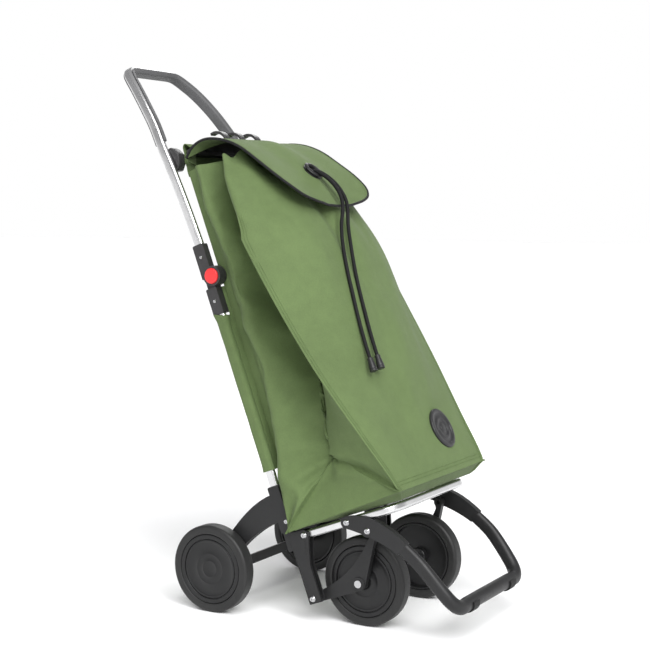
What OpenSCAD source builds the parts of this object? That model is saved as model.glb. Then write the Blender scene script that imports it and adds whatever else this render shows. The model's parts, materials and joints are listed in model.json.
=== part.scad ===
// Four-wheeled folding shopping trolley with a fabric bag, parked on its wheels.
// Every piece is drawn in the trolley's own upright frame and then leaned back:
// x runs across, "fwd" runs towards the front (-Y) and "up" runs along the side tubes.
// The origin of that upright frame is the pivot of the front wheel forks.

/* [Frame] */
// Distance from the middle of the trolley to the centre of a side tube
frame_half = 150; // [125:1:180]
// Width of a side tube, across the trolley
tube_w = 12; // [10:1:14]
// Depth of a side tube, front to back
tube_d = 20; // [16:1:24]
// Wall of the side tubes
tube_wall = 1.5; // [1:0.1:3]
// Distance of the tube centre behind the fork pivot
tube_back = 12; // [10:1:18]
// Height of the folding hinge above the fork pivot
hinge_up = 624; // [520:1:750]
// Height of the handle's top edge above the hinge
handle_rise = 462; // [385:1:555]
// Half width of the straight top of the handle
handle_top_half = 45; // [35:1:60]
// How far the handle leans back at the top
handle_lean = 89; // [60:1:110]

/* [Posts] */
// Length of a post
post_len = 136; // [120:1:160]
// Width of a post, across the trolley
post_w = 20; // [18:1:24]
// Thickness of the post's rear web
post_web = 12; // [10:1:16]
// Depth of the post's outer flange
post_flange = 14; // [12:1:18]
// Thickness of the post's outer flange
post_flange_t = 5.5; // [4:0.1:7]

/* [Wheels] */
// Wheel diameter
wheel_d = 165; // [137:1:198]
// Wheel width
wheel_w = 30; // [24:1:36]
// Axle diameter
axle_d = 10; // [8:0.5:12]
// How far behind the fork pivot the rear axle is
rear_axle_back = 182; // [150:1:220]
// Height of the rear axle above the fork pivot
rear_axle_up = 106; // [80:1:130]
// How far in front of the fork pivot the front axle is
front_axle_fwd = 92; // [80:1:110]
// Height of the front axle above the fork pivot
front_axle_up = 3; // [-10:1:15]

/* [Platform] */
// Height of the platform pivot above the fork pivot
platform_up = 115; // [105:1:130]
// Length of the platform from its pivot to the centre of its front bar
platform_len = 193; // [165:1:232]
// Width of the platform tube
platform_tube_w = 11; // [9:1:13]
// Height of the platform tube
platform_tube_h = 16; // [12:1:18]
// Distance from the platform pivot to the foot pivot
link_len = 95; // [85:1:105]

/* [Foot] */
// Diameter of the foot's tube
foot_d = 26; // [20:1:28]
// How far in front of the foot pivot the foot bar is
foot_reach = 146; // [120:1:170]
// How far below the foot pivot the foot bar is
foot_drop = 199; // [170:1:210]

/* [Hinge] */
// Radius of the hinge eyes
eye_r = 19; // [17:0.5:22]
// Radius of the hinge pins
hinge_pin_r = 6; // [5:0.5:7]
// Radius of a release button
button_r = 14.7; // [12:0.1:15]
// Travel of a release button
button_travel = 4; // [3:0.5:5]

/* [Bag] */
// Half width of the bag at the bottom of its front panel
bag_bottom_half = 178; // [160:1:190]
// Half width of the bag where it is widest
bag_wide_half = 236; // [210:1:250]
// Depth of the bag at the bottom
bag_bottom_depth = 248; // [220:1:270]
// Height of the bag's top edge above the fork pivot
bag_top_up = 830; // [790:1:850]
// Thickness of the bag's wall, with its lining
bag_wall = 3; // [2:0.5:5]
// Thickness of the flap
flap_t = 4; // [3:0.5:6]
// Radius of the badge
badge_r = 40; // [30:1:45]

/* [Fits] */
// Radial clearance of a turning fit
run_clear = 0.05; // [0.02:0.01:0.09]
// Clearance between a tube and the socket that holds it
socket_clear = 0.1; // [0.05:0.05:0.3]
// Gap between parts that pass each other
side_gap = 0.5; // [0.4:0.1:1]

/* [Hidden] */
$fn = 48;

charcoal = "#3c3c3e";
grip_grey = "#5c5c5e";
silver = "#c9c9cb";
fabric_green = "#7d9868";
trim_black = "#232325";
button_red = "#e8443e";

// Lean of the parked trolley: all four wheels have one size and stand on one floor
lean = atan((rear_axle_up - front_axle_up) / (rear_axle_back + front_axle_fwd));
wheel_r = wheel_d / 2;
axle_r = axle_d / 2;
front_axle = [front_axle_fwd, front_axle_up];
rear_axle = [-rear_axle_back, rear_axle_up];
lift = wheel_r - front_axle_fwd * sin(lean) - front_axle_up * cos(lean);
grip_inner = 4;
grip_side = 2;
grip_lip = 1;
pad_t = 3;
pad_w = 24;

// Layers across the trolley, from the middle outwards
tube_in = frame_half - tube_w / 2;
tube_out = frame_half + tube_w / 2;
post_in = frame_half - post_w / 2 + 1;
post_out = post_in + post_w;
rear_wheel_in = post_out + side_gap;
rear_wheel_out = rear_wheel_in + wheel_w;
fork_out = post_in - side_gap;
fork_t = 12.5;
fork_in = fork_out - fork_t;
front_wheel_out = fork_in - 4;
front_wheel_in = front_wheel_out - wheel_w;
arm_mid = post_out - post_flange_t - side_gap - platform_tube_w / 2;

// Pivots in the side plane, as [forward, up]
tube_fwd = -tube_back;
hinge_fwd = tube_fwd + tube_d / 2 + 3;
hinge = [hinge_fwd, hinge_up];
post_rear = tube_fwd + 3;
post_low = -9;
post_top = post_low + post_len;
platform_pivot = [post_rear + post_web + post_flange + 6, platform_up];
foot_pivot = platform_pivot + [link_len, 0];
link_pivot = foot_pivot + [36, -25];
foot_bar = foot_pivot + [foot_reach, -foot_drop];
pin_r = 4;
pin_head_r = 7;
pin_head_t = 2.5;

// Puts the middle of the whole trolley, front to back, at y = 0
foot_front = -foot_bar[0] * cos(lean) + foot_bar[1] * sin(lean) - foot_d / 2 - pad_t;
handle_rear = -(tube_fwd - handle_lean) * cos(lean) + (hinge_up + handle_rise) * sin(lean)
    + (tube_d / 2 + grip_side) * cos(lean) + grip_lip * sin(lean);
shift_y = -(foot_front + handle_rear) / 2;

// ---------------------------------------------------------------- placing helpers

// World place of the upright frame: leaned back about the wheels, with its feet at z = 0
module placed() {
    translate([0, shift_y, lift])
        rotate([-lean, 0, 0])
            children();
}

module sided(side) {
    if (side == "right") mirror([1, 0, 0]) children();
    else children();
}

module both() {
    children();
    mirror([1, 0, 0]) children();
}

// Extrudes an outline drawn in (forward, up) between two distances from the middle
module plate(near, far) {
    translate([far, 0, 0])
        rotate([90, 0, -90])
            linear_extrude(far - near)
                children();
}

// Round bar across the trolley at a place in the side plane
module bar(near, far, r, at) {
    translate([near, -at[0], at[1]])
        rotate([0, 90, 0])
            cylinder(h = far - near, r = r);
}

// Domed screw head that faces outwards
module dome(x, r, t, at) {
    translate([x, -at[0], at[1]])
        rotate([0, 90, 0])
            difference() {
                cylinder(h = t, r1 = r, r2 = r * 0.7);
                translate([0, 0, t * 0.4]) cylinder(h = t, r = r * 0.3);
            }
}

module disc(r, at) {
    translate(at) circle(r);
}

// Oval tube section, drawn across (x) and deep (y)
module oval(w, d) {
    square([w, d - w], center = true);
    translate([0, (d - w) / 2]) circle(d = w);
    translate([0, -(d - w) / 2]) circle(d = w);
}

module upright_oval(w, d, low, high, fwd) {
    translate([frame_half, -fwd, low])
        linear_extrude(high - low)
            oval(w, d);
}

// ---------------------------------------------------------------- curve helpers

function lerp(a, b, t) = a + (b - a) * t;
function spline(p, i, t) = let(
        n = len(p) - 1,
        a = p[max(i - 1, 0)],
        b = p[i],
        c = p[min(i + 1, n)],
        d = p[min(i + 2, n)])
    0.5 * (2 * b + (c - a) * t + (2 * a - 5 * b + 4 * c - d) * t * t
        + (3 * b - a - 3 * c + d) * t * t * t);
function smooth_path(p, steps) = [
    for (i = [0 : len(p) - 2])
        for (s = [0 : steps - 1])
            spline(p, i, s / steps),
    p[len(p) - 1]];
function unit(v) = v / norm(v);
function tangent(p, i) = unit(p[min(i + 1, len(p) - 1)] - p[max(i - 1, 0)]);
// One ring of a sweep: section points are [inward, forward] about the path
function ring(p, i, section, ref) = let(
        t = tangent(p, i),
        n = unit(cross(ref, t)),
        b = cross(t, n))
    [for (s = section) p[i] + n * s[0] + b * s[1]];
function sweep_points(p, section, ref) = [
    for (i = [0 : len(p) - 1]) each ring(p, i, section, ref)];
function tube_faces(rings, sides) = [
    [for (k = [0 : sides - 1]) k],
    for (i = [0 : rings - 2])
        for (k = [0 : sides - 1])
            [i * sides + k, (i + 1) * sides + k,
             (i + 1) * sides + (k + 1) % sides, i * sides + (k + 1) % sides],
    [for (k = [sides - 1 : -1 : 0]) (rings - 1) * sides + k]];

module sweep(p, section, ref) {
    polyhedron(
        points = sweep_points(p, section, ref),
        faces = tube_faces(len(p), len(section)),
        convexity = 6);
}

function round_section(r, sides) = [
    for (k = [0 : sides - 1]) [r * cos(360 * k / sides), r * sin(360 * k / sides)]];
function oval_section(w, d, sides) = [
    for (k = [0 : sides - 1]) let(a = 360 * k / sides)
        [w / 2 * cos(a), w / 2 * sin(a) + (sin(a) >= 0 ? 1 : -1) * (d - w) / 2]];

// Point of the upright frame from across, forward and up
function at3(x, fwd, up) = [x, -fwd, up];
function mirrored_path(p) = [
    each p,
    for (i = [len(p) - 1 : -1 : 0]) [-p[i][0], p[i][1], p[i][2]]];

// ---------------------------------------------------------------- side frames

tube_low = post_top + 4;
socket_half = tube_w / 2 + 2;
socket_depth = tube_d + 4;
lower_block = [hinge_up - 72, hinge_up - eye_r - 1];
upper_block = [hinge_up + 13, hinge_up + 66];
lower_tube_top = hinge_up - 22;
upper_tube_low = hinge_up + eye_r + 1.5;
eye_half = socket_half + 2;
rivet_r = 3.6;

module rounded(low, high, r) {
    translate([low[0] + r, low[1]]) square([high[0] - low[0] - 2 * r, high[1] - low[1]]);
    translate([low[0], low[1] + r]) square([high[0] - low[0], high[1] - low[1] - 2 * r]);
    for (x = [low[0] + r, high[0] - r])
        for (y = [low[1] + r, high[1] - r])
            translate([x, y]) circle(r);
}

module lower_tube(side) {
    color(silver) placed() sided(side) difference() {
        upright_oval(tube_w, tube_d, tube_low, lower_tube_top, tube_fwd);
        upright_oval(tube_w - 2 * tube_wall, tube_d - 2 * tube_wall,
            tube_low - 1, lower_tube_top + 1, tube_fwd);
    }
}

module socket_cavity(low, high) {
    upright_oval(tube_w + 2 * socket_clear, tube_d + 2 * socket_clear, low, high, tube_fwd);
}

module socket_block(span) {
    plate(frame_half - socket_half, frame_half + socket_half)
        rounded([tube_fwd - socket_depth / 2, span[0]], [tube_fwd + socket_depth / 2, span[1]], 3);
}

// The lower half of the folding hinge: its eye is the inner layer
module lower_socket(side) {
    color(charcoal) placed() sided(side) difference() {
        union() {
            socket_block(lower_block);
            plate(frame_half - eye_half, frame_half - side_gap / 2) {
                disc(eye_r, hinge);
                translate([tube_fwd - socket_depth / 2, lower_block[0]])
                    square([socket_depth, hinge_up - lower_block[0]]);
            }
        }
        socket_cavity(lower_block[0] - 1, lower_tube_top);
        bar(frame_half - side_gap / 2, frame_half + eye_half + 1, eye_r + side_gap, hinge);
        bar(frame_half - eye_half - 1, frame_half, hinge_pin_r + run_clear, hinge);
    }
}

// The upper half: its eye is the outer layer, with a pocket for the button
module upper_socket(side) {
    pocket_floor = frame_half + 5.3;
    color(charcoal) placed() sided(side) difference() {
        union() {
            socket_block(upper_block);
            plate(frame_half + side_gap / 2, frame_half + eye_half + 2) disc(eye_r, hinge);
            plate(frame_half + side_gap / 2, frame_half + socket_half)
                translate([tube_fwd - socket_depth / 2, hinge_up])
                    square([socket_depth, upper_block[1] - hinge_up - 10]);
        }
        socket_cavity(upper_tube_low, upper_block[1] + 1);
        bar(frame_half - eye_half - 1, frame_half + side_gap / 2, eye_r + side_gap, hinge);
        bar(frame_half, frame_half + eye_half, hinge_pin_r + run_clear, hinge);
        bar(pocket_floor, frame_half + eye_half + 3, button_r + 0.3, hinge);
    }
}

// Hollow pins: the stem of each button slides in them
module hinge_pins() {
    color(silver) placed() both() difference() {
        union() {
            bar(frame_half - eye_half, frame_half + 5, hinge_pin_r, hinge);
            bar(frame_half - eye_half - 2, frame_half - eye_half, hinge_pin_r + 2.5, hinge);
        }
        bar(frame_half - 4.5, frame_half + 6, 4 + run_clear, hinge);
    }
}

module button(side) {
    face = frame_half + eye_half + 5.5;
    seat = frame_half + eye_half - 0.2;
    color(button_red) placed() sided(side) {
        bar(seat, face - 1.5, button_r, hinge);
        translate([face - 1.5, -hinge[0], hinge[1]])
            rotate([0, 90, 0])
                cylinder(h = 1.5, r1 = button_r, r2 = button_r - 1.5);
        bar(frame_half + 0.5, seat, 4, hinge);
    }
}

module rivets_at(up) {
    color(silver) placed() both()
        dome(frame_half + socket_half, rivet_r, 1.8, [tube_fwd, up]);
}

module lower_rivets() { rivets_at(lower_block[0] + 26); }
module upper_rivets() { rivets_at(upper_block[1] - 25); }

// Fabric sleeve of the bag round the side tube
module sleeve(side) {
    low = hinge_up - 379;
    high = lower_block[0] - 1;
    color(fabric_green) placed() sided(side) difference() {
        upright_oval(tube_w + 4, tube_d + 4, low, high, tube_fwd);
        upright_oval(tube_w + 0.8, tube_d + 0.8, low - 1, high + 1, tube_fwd);
    }
}

// ---------------------------------------------------------------- posts and rear arms

ear_r = 10;

module flange_outline(depth) {
    front = post_rear + post_web + depth;
    polygon([[post_rear, post_low], [front, post_low], [front, platform_up - 55],
        [platform_pivot[0] + ear_r * 0.8, platform_up - ear_r * 0.6],
        [platform_pivot[0], platform_up + ear_r], [post_rear, post_top]]);
    disc(ear_r, platform_pivot);
}

// Channel-shaped post with ears for the platform and a boss for the fork
module post(side) {
    color(charcoal) placed() sided(side) difference() {
        union() {
            plate(post_in, post_out) {
                translate([post_rear, post_low]) square([post_web, post_len]);
                disc(9, [0, 0]);
            }
            plate(post_out - post_flange_t, post_out) flange_outline(post_flange);
            plate(post_in, post_in + 2.5) flange_outline(post_flange - 2);
        }
        bar(post_in - 1, post_out + 1, pin_r + run_clear, [0, 0]);
        bar(post_in - 1, post_out + 1, pin_r + run_clear, platform_pivot);
    }
}

function bezier(a, b, c, steps) = [
    for (i = [0 : steps]) let(t = i / steps)
        (1 - t) * (1 - t) * a + 2 * t * (1 - t) * b + t * t * c];

arm_screw = [tube_fwd + 6, tube_low + 17];
boss_r = 14;
crossbar = rear_axle + [7, -10];
crossbar_size = 18;

module rear_arm(side) {
    out = post_out - 2;
    root = [tube_fwd - 14, tube_low + 86];
    color(charcoal) placed() sided(side) difference() {
        union() {
            plate(post_in, out) {
                rounded([tube_fwd - socket_depth / 2, post_top + 2],
                    [tube_fwd + socket_depth / 2, root[1]], 3);
                translate([post_rear - 11, post_top - 34]) square([11, 40]);
                polygon([
                    each bezier(root + [6, -14], root + [-62, -18], rear_axle + [-4, boss_r], 12),
                    each bezier(rear_axle + [4, -boss_r], root + [-66, -68],
                        [tube_fwd - 12, tube_low + 20], 12),
                    [tube_fwd, tube_low + 20], [tube_fwd, root[1] - 14]]);
                disc(boss_r, rear_axle);
                disc(boss_r - 1, crossbar);
            }
        }
        socket_cavity(tube_low, root[1] + 1);
        bar(post_in - 1, out + 1, axle_r + run_clear, rear_axle);
    }
}

module rear_crossbar() {
    color(charcoal) placed()
        translate([-post_in, -crossbar[0] - crossbar_size / 2, crossbar[1] - crossbar_size / 2])
            cube([2 * post_in, crossbar_size, crossbar_size]);
}

module rear_axles() {
    color(silver) placed() both() bar(post_in, rear_wheel_out - 6, axle_r, rear_axle);
}

module arm_screws() {
    color(silver) placed() both() dome(post_out - 2, 5, 2, arm_screw);
}

// Pins of the platform and of the forks, with their heads and retaining washers
module pivot_pins() {
    color(silver) placed() both() {
        bar(fork_in - 2.3, post_out, pin_r, [0, 0]);
        bar(fork_in - 2.3, fork_in - 0.3, pin_head_r, [0, 0]);
        dome(post_out, pin_head_r - 1, pin_head_t, [0, 0]);
        bar(post_in, post_out, pin_r, platform_pivot);
        dome(post_out, pin_head_r - 1, pin_head_t, platform_pivot);
    }
}

// ---------------------------------------------------------------- wheels

tyre_band = 16.5;
tyre_in = wheel_r - tyre_band;
groove_r = tyre_in - 11;
rear_bore = wheel_w - 5.5;
front_bore = wheel_w + 1;

// Ring with rounded shoulders, turned about the axle
module tyre(near, at) {
    color(trim_black) placed() translate([near, -at[0], at[1]]) rotate([0, 90, 0])
        rotate_extrude($fn = 96) {
            translate([tyre_in, 1.5]) square([tyre_band - 5, wheel_w - 3]);
            translate([tyre_in + 2, 0]) square([tyre_band - 7, wheel_w]);
            translate([wheel_r - 5, 5]) square([5, wheel_w - 10]);
            for (z = [5, wheel_w - 5]) translate([wheel_r - 5, z]) circle(5);
        }
}

// Dished hub: a shallow disc inside a rim, hollow behind; bore_to is how deep the bore goes
module hub(near, at, bore_to) {
    color(charcoal) placed() translate([near, -at[0], at[1]]) rotate([0, 90, 0]) difference() {
        cylinder(h = wheel_w - 1, r = tyre_in - side_gap / 2, $fn = 96);
        translate([0, 0, wheel_w - 2.4]) cylinder(h = 3, r = groove_r, $fn = 96);
        translate([0, 0, -1]) difference() {
            cylinder(h = 13, r = tyre_in - 5, $fn = 96);
            translate([0, 0, -1]) cylinder(h = 15, r = 16, $fn = 96);
        }
        translate([0, 0, -1]) cylinder(h = bore_to + 1, r = axle_r + run_clear);
    }
}

// ---------------------------------------------------------------- forks

module fork(side) {
    color(charcoal) placed() sided(side) difference() {
        union() {
            plate(fork_in, fork_out) {
                polygon([
                    [0, -10], front_axle + [0, -13], front_axle + [11, -7],
                    link_pivot + [8, -3], link_pivot + [-8, -4],
                    each bezier(link_pivot + [-9, -10], front_axle + [-4, 16], [4, 9], 12)]);
                disc(10, [0, 0]);
                disc(13, front_axle);
                disc(9, link_pivot);
            }
            bar(fork_in, fork_out + 2.5, 12, front_axle);
        }
        bar(fork_in - 1, fork_out + 1, pin_r + run_clear, [0, 0]);
        bar(fork_in - 1, fork_out + 4, axle_r + run_clear, front_axle);
        bar(fork_in - 1, fork_out + 1, pin_r, link_pivot);
    }
}

module front_axle_rod() {
    color(silver) placed() {
        bar(-(fork_out + 2.5), fork_out + 2.5, axle_r, front_axle);
        both() bar(fork_out + 2.5, fork_out + 4.5, axle_r + 2, front_axle);
    }
}

// ---------------------------------------------------------------- platform and foot

corner_r = 38;
platform_front = platform_pivot[0] + platform_len;

module platform_section() {
    oval(platform_tube_w, platform_tube_h);
}

// U-shaped tube that carries the bag, with its ends on the post pins
module platform_tube() {
    arm_end = platform_front - corner_r;
    color(silver) placed() difference() {
        union() {
            both() {
                plate(arm_mid - platform_tube_w / 2, arm_mid + platform_tube_w / 2)
                    disc(platform_tube_h / 2, platform_pivot);
                translate([arm_mid, -platform_pivot[0], platform_up])
                    rotate([90, 0, 0])
                        linear_extrude(arm_end - platform_pivot[0]) platform_section();
                translate([arm_mid - corner_r, -arm_end, platform_up])
                    rotate([0, 0, -90])
                        rotate_extrude(angle = 90)
                            translate([corner_r, 0]) platform_section();
            }
            translate([-(arm_mid - corner_r), -platform_front, platform_up])
                rotate([0, 90, 0])
                    rotate([0, 0, 90])
                        linear_extrude(2 * (arm_mid - corner_r)) platform_section();
        }
        both() {
            bar(arm_mid - platform_tube_w, arm_mid + platform_tube_w, pin_r + run_clear,
                platform_pivot);
            bar(arm_mid - platform_tube_w, arm_mid + platform_tube_w, pin_r + run_clear,
                foot_pivot);
        }
    }
}

module foot_pins() {
    color(silver) placed() both() {
        bar(arm_mid - platform_tube_w / 2, post_out + 0.3, pin_r, foot_pivot);
        dome(post_out + 0.3, pin_head_r - 1, pin_head_t, foot_pivot);
    }
}

foot_in = fork_out + 6.5;
foot_mid = (foot_in + post_out) / 2;
foot_t = post_out - foot_in;
foot_turn = foot_pivot + [93, -73];

module foot_outline() {
    polygon([
        each bezier(foot_pivot + [2, 11], foot_pivot + [60, 8], foot_turn + [11, 7], 10),
        each bezier(foot_turn + [-11, -7], foot_pivot + [52, -42], foot_pivot + [-2, -11], 10)]);
}

// Moulded arm of the foot: a cheek outside the platform tube and a thick part below it
module foot_plate(side) {
    color(charcoal) placed() sided(side) difference() {
        union() {
            plate(post_out - post_flange_t, post_out) {
                disc(11, foot_pivot);
                foot_outline();
            }
            plate(foot_in, post_out) difference() {
                union() {
                    foot_outline();
                    disc(11, link_pivot);
                }
                disc(32, foot_pivot);
                translate([foot_pivot[0], platform_up - platform_tube_h / 2 - 1])
                    square([200, 40]);
            }
        }
        bar(foot_in - 1, post_out + 1, pin_r + run_clear, foot_pivot);
        bar(foot_in - 1, post_out + 1, pin_r + run_clear, link_pivot);
    }
}

module link_pins() {
    color(silver) placed() both() {
        bar(foot_in, post_out, pin_r, link_pivot);
        dome(post_out, pin_head_r - 1, pin_head_t, link_pivot);
    }
}

foot_half_path = smooth_path([
    at3(foot_mid, foot_turn[0] - 3, foot_turn[1] + 4),
    at3(foot_mid - 1, foot_turn[0] + 20, foot_turn[1] - 34),
    at3(foot_mid - 7, foot_bar[0] - 15, foot_bar[1] + 46),
    at3(foot_mid - 16, foot_bar[0] - 4, foot_bar[1] + 14),
    at3(foot_mid - 34, foot_bar[0], foot_bar[1]),
    at3(foot_mid - 60, foot_bar[0], foot_bar[1])], 5);
foot_path = mirrored_path(foot_half_path);

function foot_section(i) = let(
        n = len(foot_half_path),
        k = min(i, len(foot_path) - 1 - i) / (n - 1),
        w = lerp(foot_t - 0.6, foot_d, min(1, k * 1.4)))
    oval_section(w, foot_d, 16);

module foot_loop() {
    color(charcoal) placed() polyhedron(
        points = [for (i = [0 : len(foot_path) - 1])
            each ring(foot_path, i, foot_section(i), [0, -1, 0])],
        faces = tube_faces(len(foot_path), 16),
        convexity = 6);
}

module foot_pads() {
    color(trim_black) placed() both()
        translate([foot_mid - 60 - pad_w, -foot_bar[0], foot_bar[1]])
            rotate([0, 90, 0])
                difference() {
                    cylinder(h = pad_w, r = foot_d / 2 + pad_t);
                    translate([0, 0, -1]) cylinder(h = pad_w + 2, r = foot_d / 2 + 0.05);
                    translate([-50, -50, -1]) cube([50, 100, pad_w + 2]);
                }
}

// ---------------------------------------------------------------- handle

// Shares of the rise, of the narrowing and of the lean along one side of the arch
handle_shape = [[0.15, 0, 0], [0.3, 0.01, 0.045], [0.45, 0.065, 0.135], [0.58, 0.18, 0.27],
    [0.69, 0.325, 0.39], [0.8, 0.465, 0.56], [0.9, 0.65, 0.76], [0.965, 0.83, 0.93],
    [0.993, 0.95, 0.99], [1, 1.1, 1]];
function handle_point(k) = at3(
    lerp(frame_half, handle_top_half, k[1]),
    tube_fwd - handle_lean * k[2],
    hinge_up + handle_rise * k[0]);
handle_steps = 3;
handle_half_path = [
    at3(frame_half, tube_fwd, upper_tube_low + 0.2),
    each smooth_path([for (k = handle_shape) handle_point(k)], handle_steps)];
handle_path = mirrored_path(handle_half_path);
fwd_ref = [0, -1, 0];

module handle_tube() {
    sides = 16;
    n = len(handle_path);
    outer = sweep_points(handle_path, oval_section(tube_w, tube_d, sides), fwd_ref);
    inner = sweep_points(handle_path,
        oval_section(tube_w - 2 * tube_wall, tube_d - 2 * tube_wall, sides), fwd_ref);
    color(silver) placed() polyhedron(
        points = concat(outer, inner),
        faces = shell_faces(n, sides, false),
        convexity = 8);
}

// Faces of a hollow sweep: outer rings, then inner rings, joined at the open ends
function shell_faces(rings, sides, closed_low) = let(m = rings * sides) concat(
    [for (i = [0 : rings - 2])
        for (k = [0 : sides - 1]) let(q = (k + 1) % sides)
            [i * sides + k, (i + 1) * sides + k, (i + 1) * sides + q, i * sides + q]],
    [for (i = [0 : rings - 2])
        for (k = [0 : sides - 1]) let(q = (k + 1) % sides)
            [m + i * sides + q, m + (i + 1) * sides + q, m + (i + 1) * sides + k, m + i * sides + k]],
    [for (k = [0 : sides - 1]) let(q = (k + 1) % sides, e = m - sides)
        [e + q, e + k, m + e + k, m + e + q]],
    closed_low
        ? [[for (k = [0 : sides - 1]) k], [for (k = [sides - 1 : -1 : 0]) m + k]]
        : [for (k = [0 : sides - 1]) let(q = (k + 1) % sides) [k, q, m + q, m + k]]);

// Grip that lines the inside of the arch and wraps the tube's edges
module handle_grip() {
    reach = tube_d / 2 + grip_side;
    inset = tube_d / 2 + 0.15;
    side = tube_w / 2;
    section = [[-1, -reach], [side, -reach], [side + grip_inner, -reach + 4],
        [side + grip_inner, reach - 4], [side, reach], [-1, reach], [-1, inset],
        [side * 0.45, inset - 0.6], [side * 0.85, inset - 2.6], [side + 0.15, inset - 5.5],
        [side + 0.15, -inset + 5.5], [side * 0.85, -inset + 2.6], [side * 0.45, -inset + 0.6],
        [-1, -inset]];
    skip = 14;
    n = len(handle_path);
    part = [for (i = [skip : n - 1 - skip]) handle_path[i]];
    color(grip_grey) placed() sweep(part, section, fwd_ref);
}

// ---------------------------------------------------------------- top rail and hooks

rail_up = hinge_up + 250;
// Place of the handle's tube at the height of the rail
rail_share = (rail_up - hinge_up) / handle_rise;
arch_narrow = lookup(rail_share, [for (k = handle_shape) [k[0], k[1]]]);
arch_back = lookup(rail_share, [for (k = handle_shape) [k[0], k[2]]]);
arch_half = lerp(frame_half, handle_top_half, arch_narrow);
arch_fwd = tube_fwd - handle_lean * arch_back;
rail_half = arch_half - 23;
rail_rear = tube_fwd + 8;
rail_front = rail_rear + 66;
rail_t = 4;
hook_gap = 55;
hook_w = 16;

// Clamp that carries the top rail on the handle's tube
module bracket(side) {
    color(charcoal) placed() sided(side)
        plate(rail_half, arch_half + tube_w / 2 + 2.5)
            polygon([[arch_fwd - 15, rail_up - 2], [arch_fwd - 15, rail_up + 22],
                [arch_fwd, rail_up + 24], [rail_rear + 6, rail_up + 10],
                [rail_rear + 8, rail_up - 14], [arch_fwd + 12, rail_up - 30],
                [arch_fwd - 2, rail_up - 26]]);
}

module hook_outline() {
    base = [rail_front - 10, rail_up + rail_t];
    thick = 3;
    difference() {
        translate(base + [-16, 0]) circle(r = 22 + thick, $fn = 64);
        translate(base + [-17, -2]) circle(r = 22, $fn = 64);
        translate(base + [-80, -60]) square([160, 60]);
        translate(base + [-80, -60]) square([58, 120]);
    }
}

module hook_rail() {
    color(charcoal) placed() {
        translate([-rail_half, -rail_front, rail_up]) cube([2 * rail_half, 64, rail_t]);
        translate([-rail_half, -rail_rear - 12, rail_up - 8]) cube([2 * rail_half, 12, 8]);
        for (k = [-1 : 1])
            translate([k * hook_gap, 0, 0])
                plate(-hook_w / 2, hook_w / 2)
                    hook_outline();
    }
}

// Fabric that wraps the rear of the rail
module top_panel() {
    color(fabric_green) placed()
        plate(-rail_half + 1, rail_half - 1) {
            translate([rail_rear - 4, rail_up + rail_t + 0.3]) square([36, 2]);
            translate([rail_rear - 4, rail_up - 30]) square([2.5, 34]);
        }
}

// ---------------------------------------------------------------- flap

flap_half = 156;
flap_back = [rail_front + 3, rail_up - 1];
// Side view of the flap's middle line
flap_profile = smooth_path([flap_back, flap_back + [32, -14], flap_back + [66, -42],
    flap_back + [98, -80], flap_back + [124, -122], flap_back + [144, -168],
    flap_back + [152, -190]], 2);
flap_rows = len(flap_profile);
flap_cols = 14;
function flap_normal(i) = let(
        t = unit(flap_profile[min(i + 1, flap_rows - 1)] - flap_profile[max(i - 1, 0)]))
    [-t[1], t[0]];
function flap_half_at(i) = let(s = max(0, (i / (flap_rows - 1) - 0.5) / 0.5))
    flap_half * (0.4 + 0.6 * sqrt(max(0, 1 - s * s)));
function flap_droop(x, i) = 16 * pow(x / flap_half, 2) * (1 - i / (flap_rows - 1));
function flap_point(i, j, out) = let(
        x = flap_half_at(i) * (2 * j / flap_cols - 1),
        p = flap_profile[i] + flap_normal(i) * out)
    at3(x, p[0], p[1] - flap_droop(x, i));
function grid_points(out) = [
    for (i = [0 : flap_rows - 1])
        for (j = [0 : flap_cols])
            flap_point(i, j, out)];
function flap_rim() = let(c = flap_cols + 1, r = flap_rows) [
    for (j = [0 : c - 2]) j,
    for (i = [0 : r - 2]) i * c + c - 1,
    for (j = [c - 1 : -1 : 1]) (r - 1) * c + j,
    for (i = [r - 1 : -1 : 1]) i * c];

module flap() {
    c = flap_cols + 1;
    m = c * flap_rows;
    rim = flap_rim();
    top = [for (i = [0 : flap_rows - 2]) for (j = [0 : c - 2]) each [
        [i * c + j, (i + 1) * c + j, (i + 1) * c + j + 1],
        [i * c + j, (i + 1) * c + j + 1, i * c + j + 1]]];
    low = [for (f = top) [m + f[2], m + f[1], m + f[0]]];
    sides = [for (k = [0 : len(rim) - 1]) let(a = rim[k], b = rim[(k + 1) % len(rim)])
        [a, b, m + b, m + a]];
    color(fabric_green) placed() polyhedron(
        points = concat(grid_points(flap_t / 2), grid_points(-flap_t / 2)),
        faces = concat(top, low, sides),
        convexity = 6);
}

// Edge binding round the flap's free edges
piping_r = 2.6;
function flap_edge(side) = [for (i = [0 : flap_rows - 1])
    let(p = flap_point(i, side > 0 ? flap_cols : 0, 0))
    p + [side * (piping_r + 0.15), 0, 0]];
module flap_piping() {
    front = flap_point(flap_rows - 1, 0, 0);
    drop = (piping_r + 0.15) * unit([0, front[1] - flap_point(flap_rows - 2, 0, 0)[1],
        front[2] - flap_point(flap_rows - 2, 0, 0)[2]]);
    left = flap_edge(1);
    right = flap_edge(-1);
    n = flap_rows;
    path = [
        for (i = [0 : n - 2]) left[i],
        left[n - 1] + drop * 0.7,
        for (x = [0.9, 0.45, 0, -0.45, -0.9])
            [-x * front[0], front[1], front[2]] + drop,
        right[n - 1] + drop * 0.7,
        for (i = [n - 2 : -1 : 0]) right[i]];
    color(trim_black) placed() sweep(path, round_section(piping_r, 8), fwd_ref);
}

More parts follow.
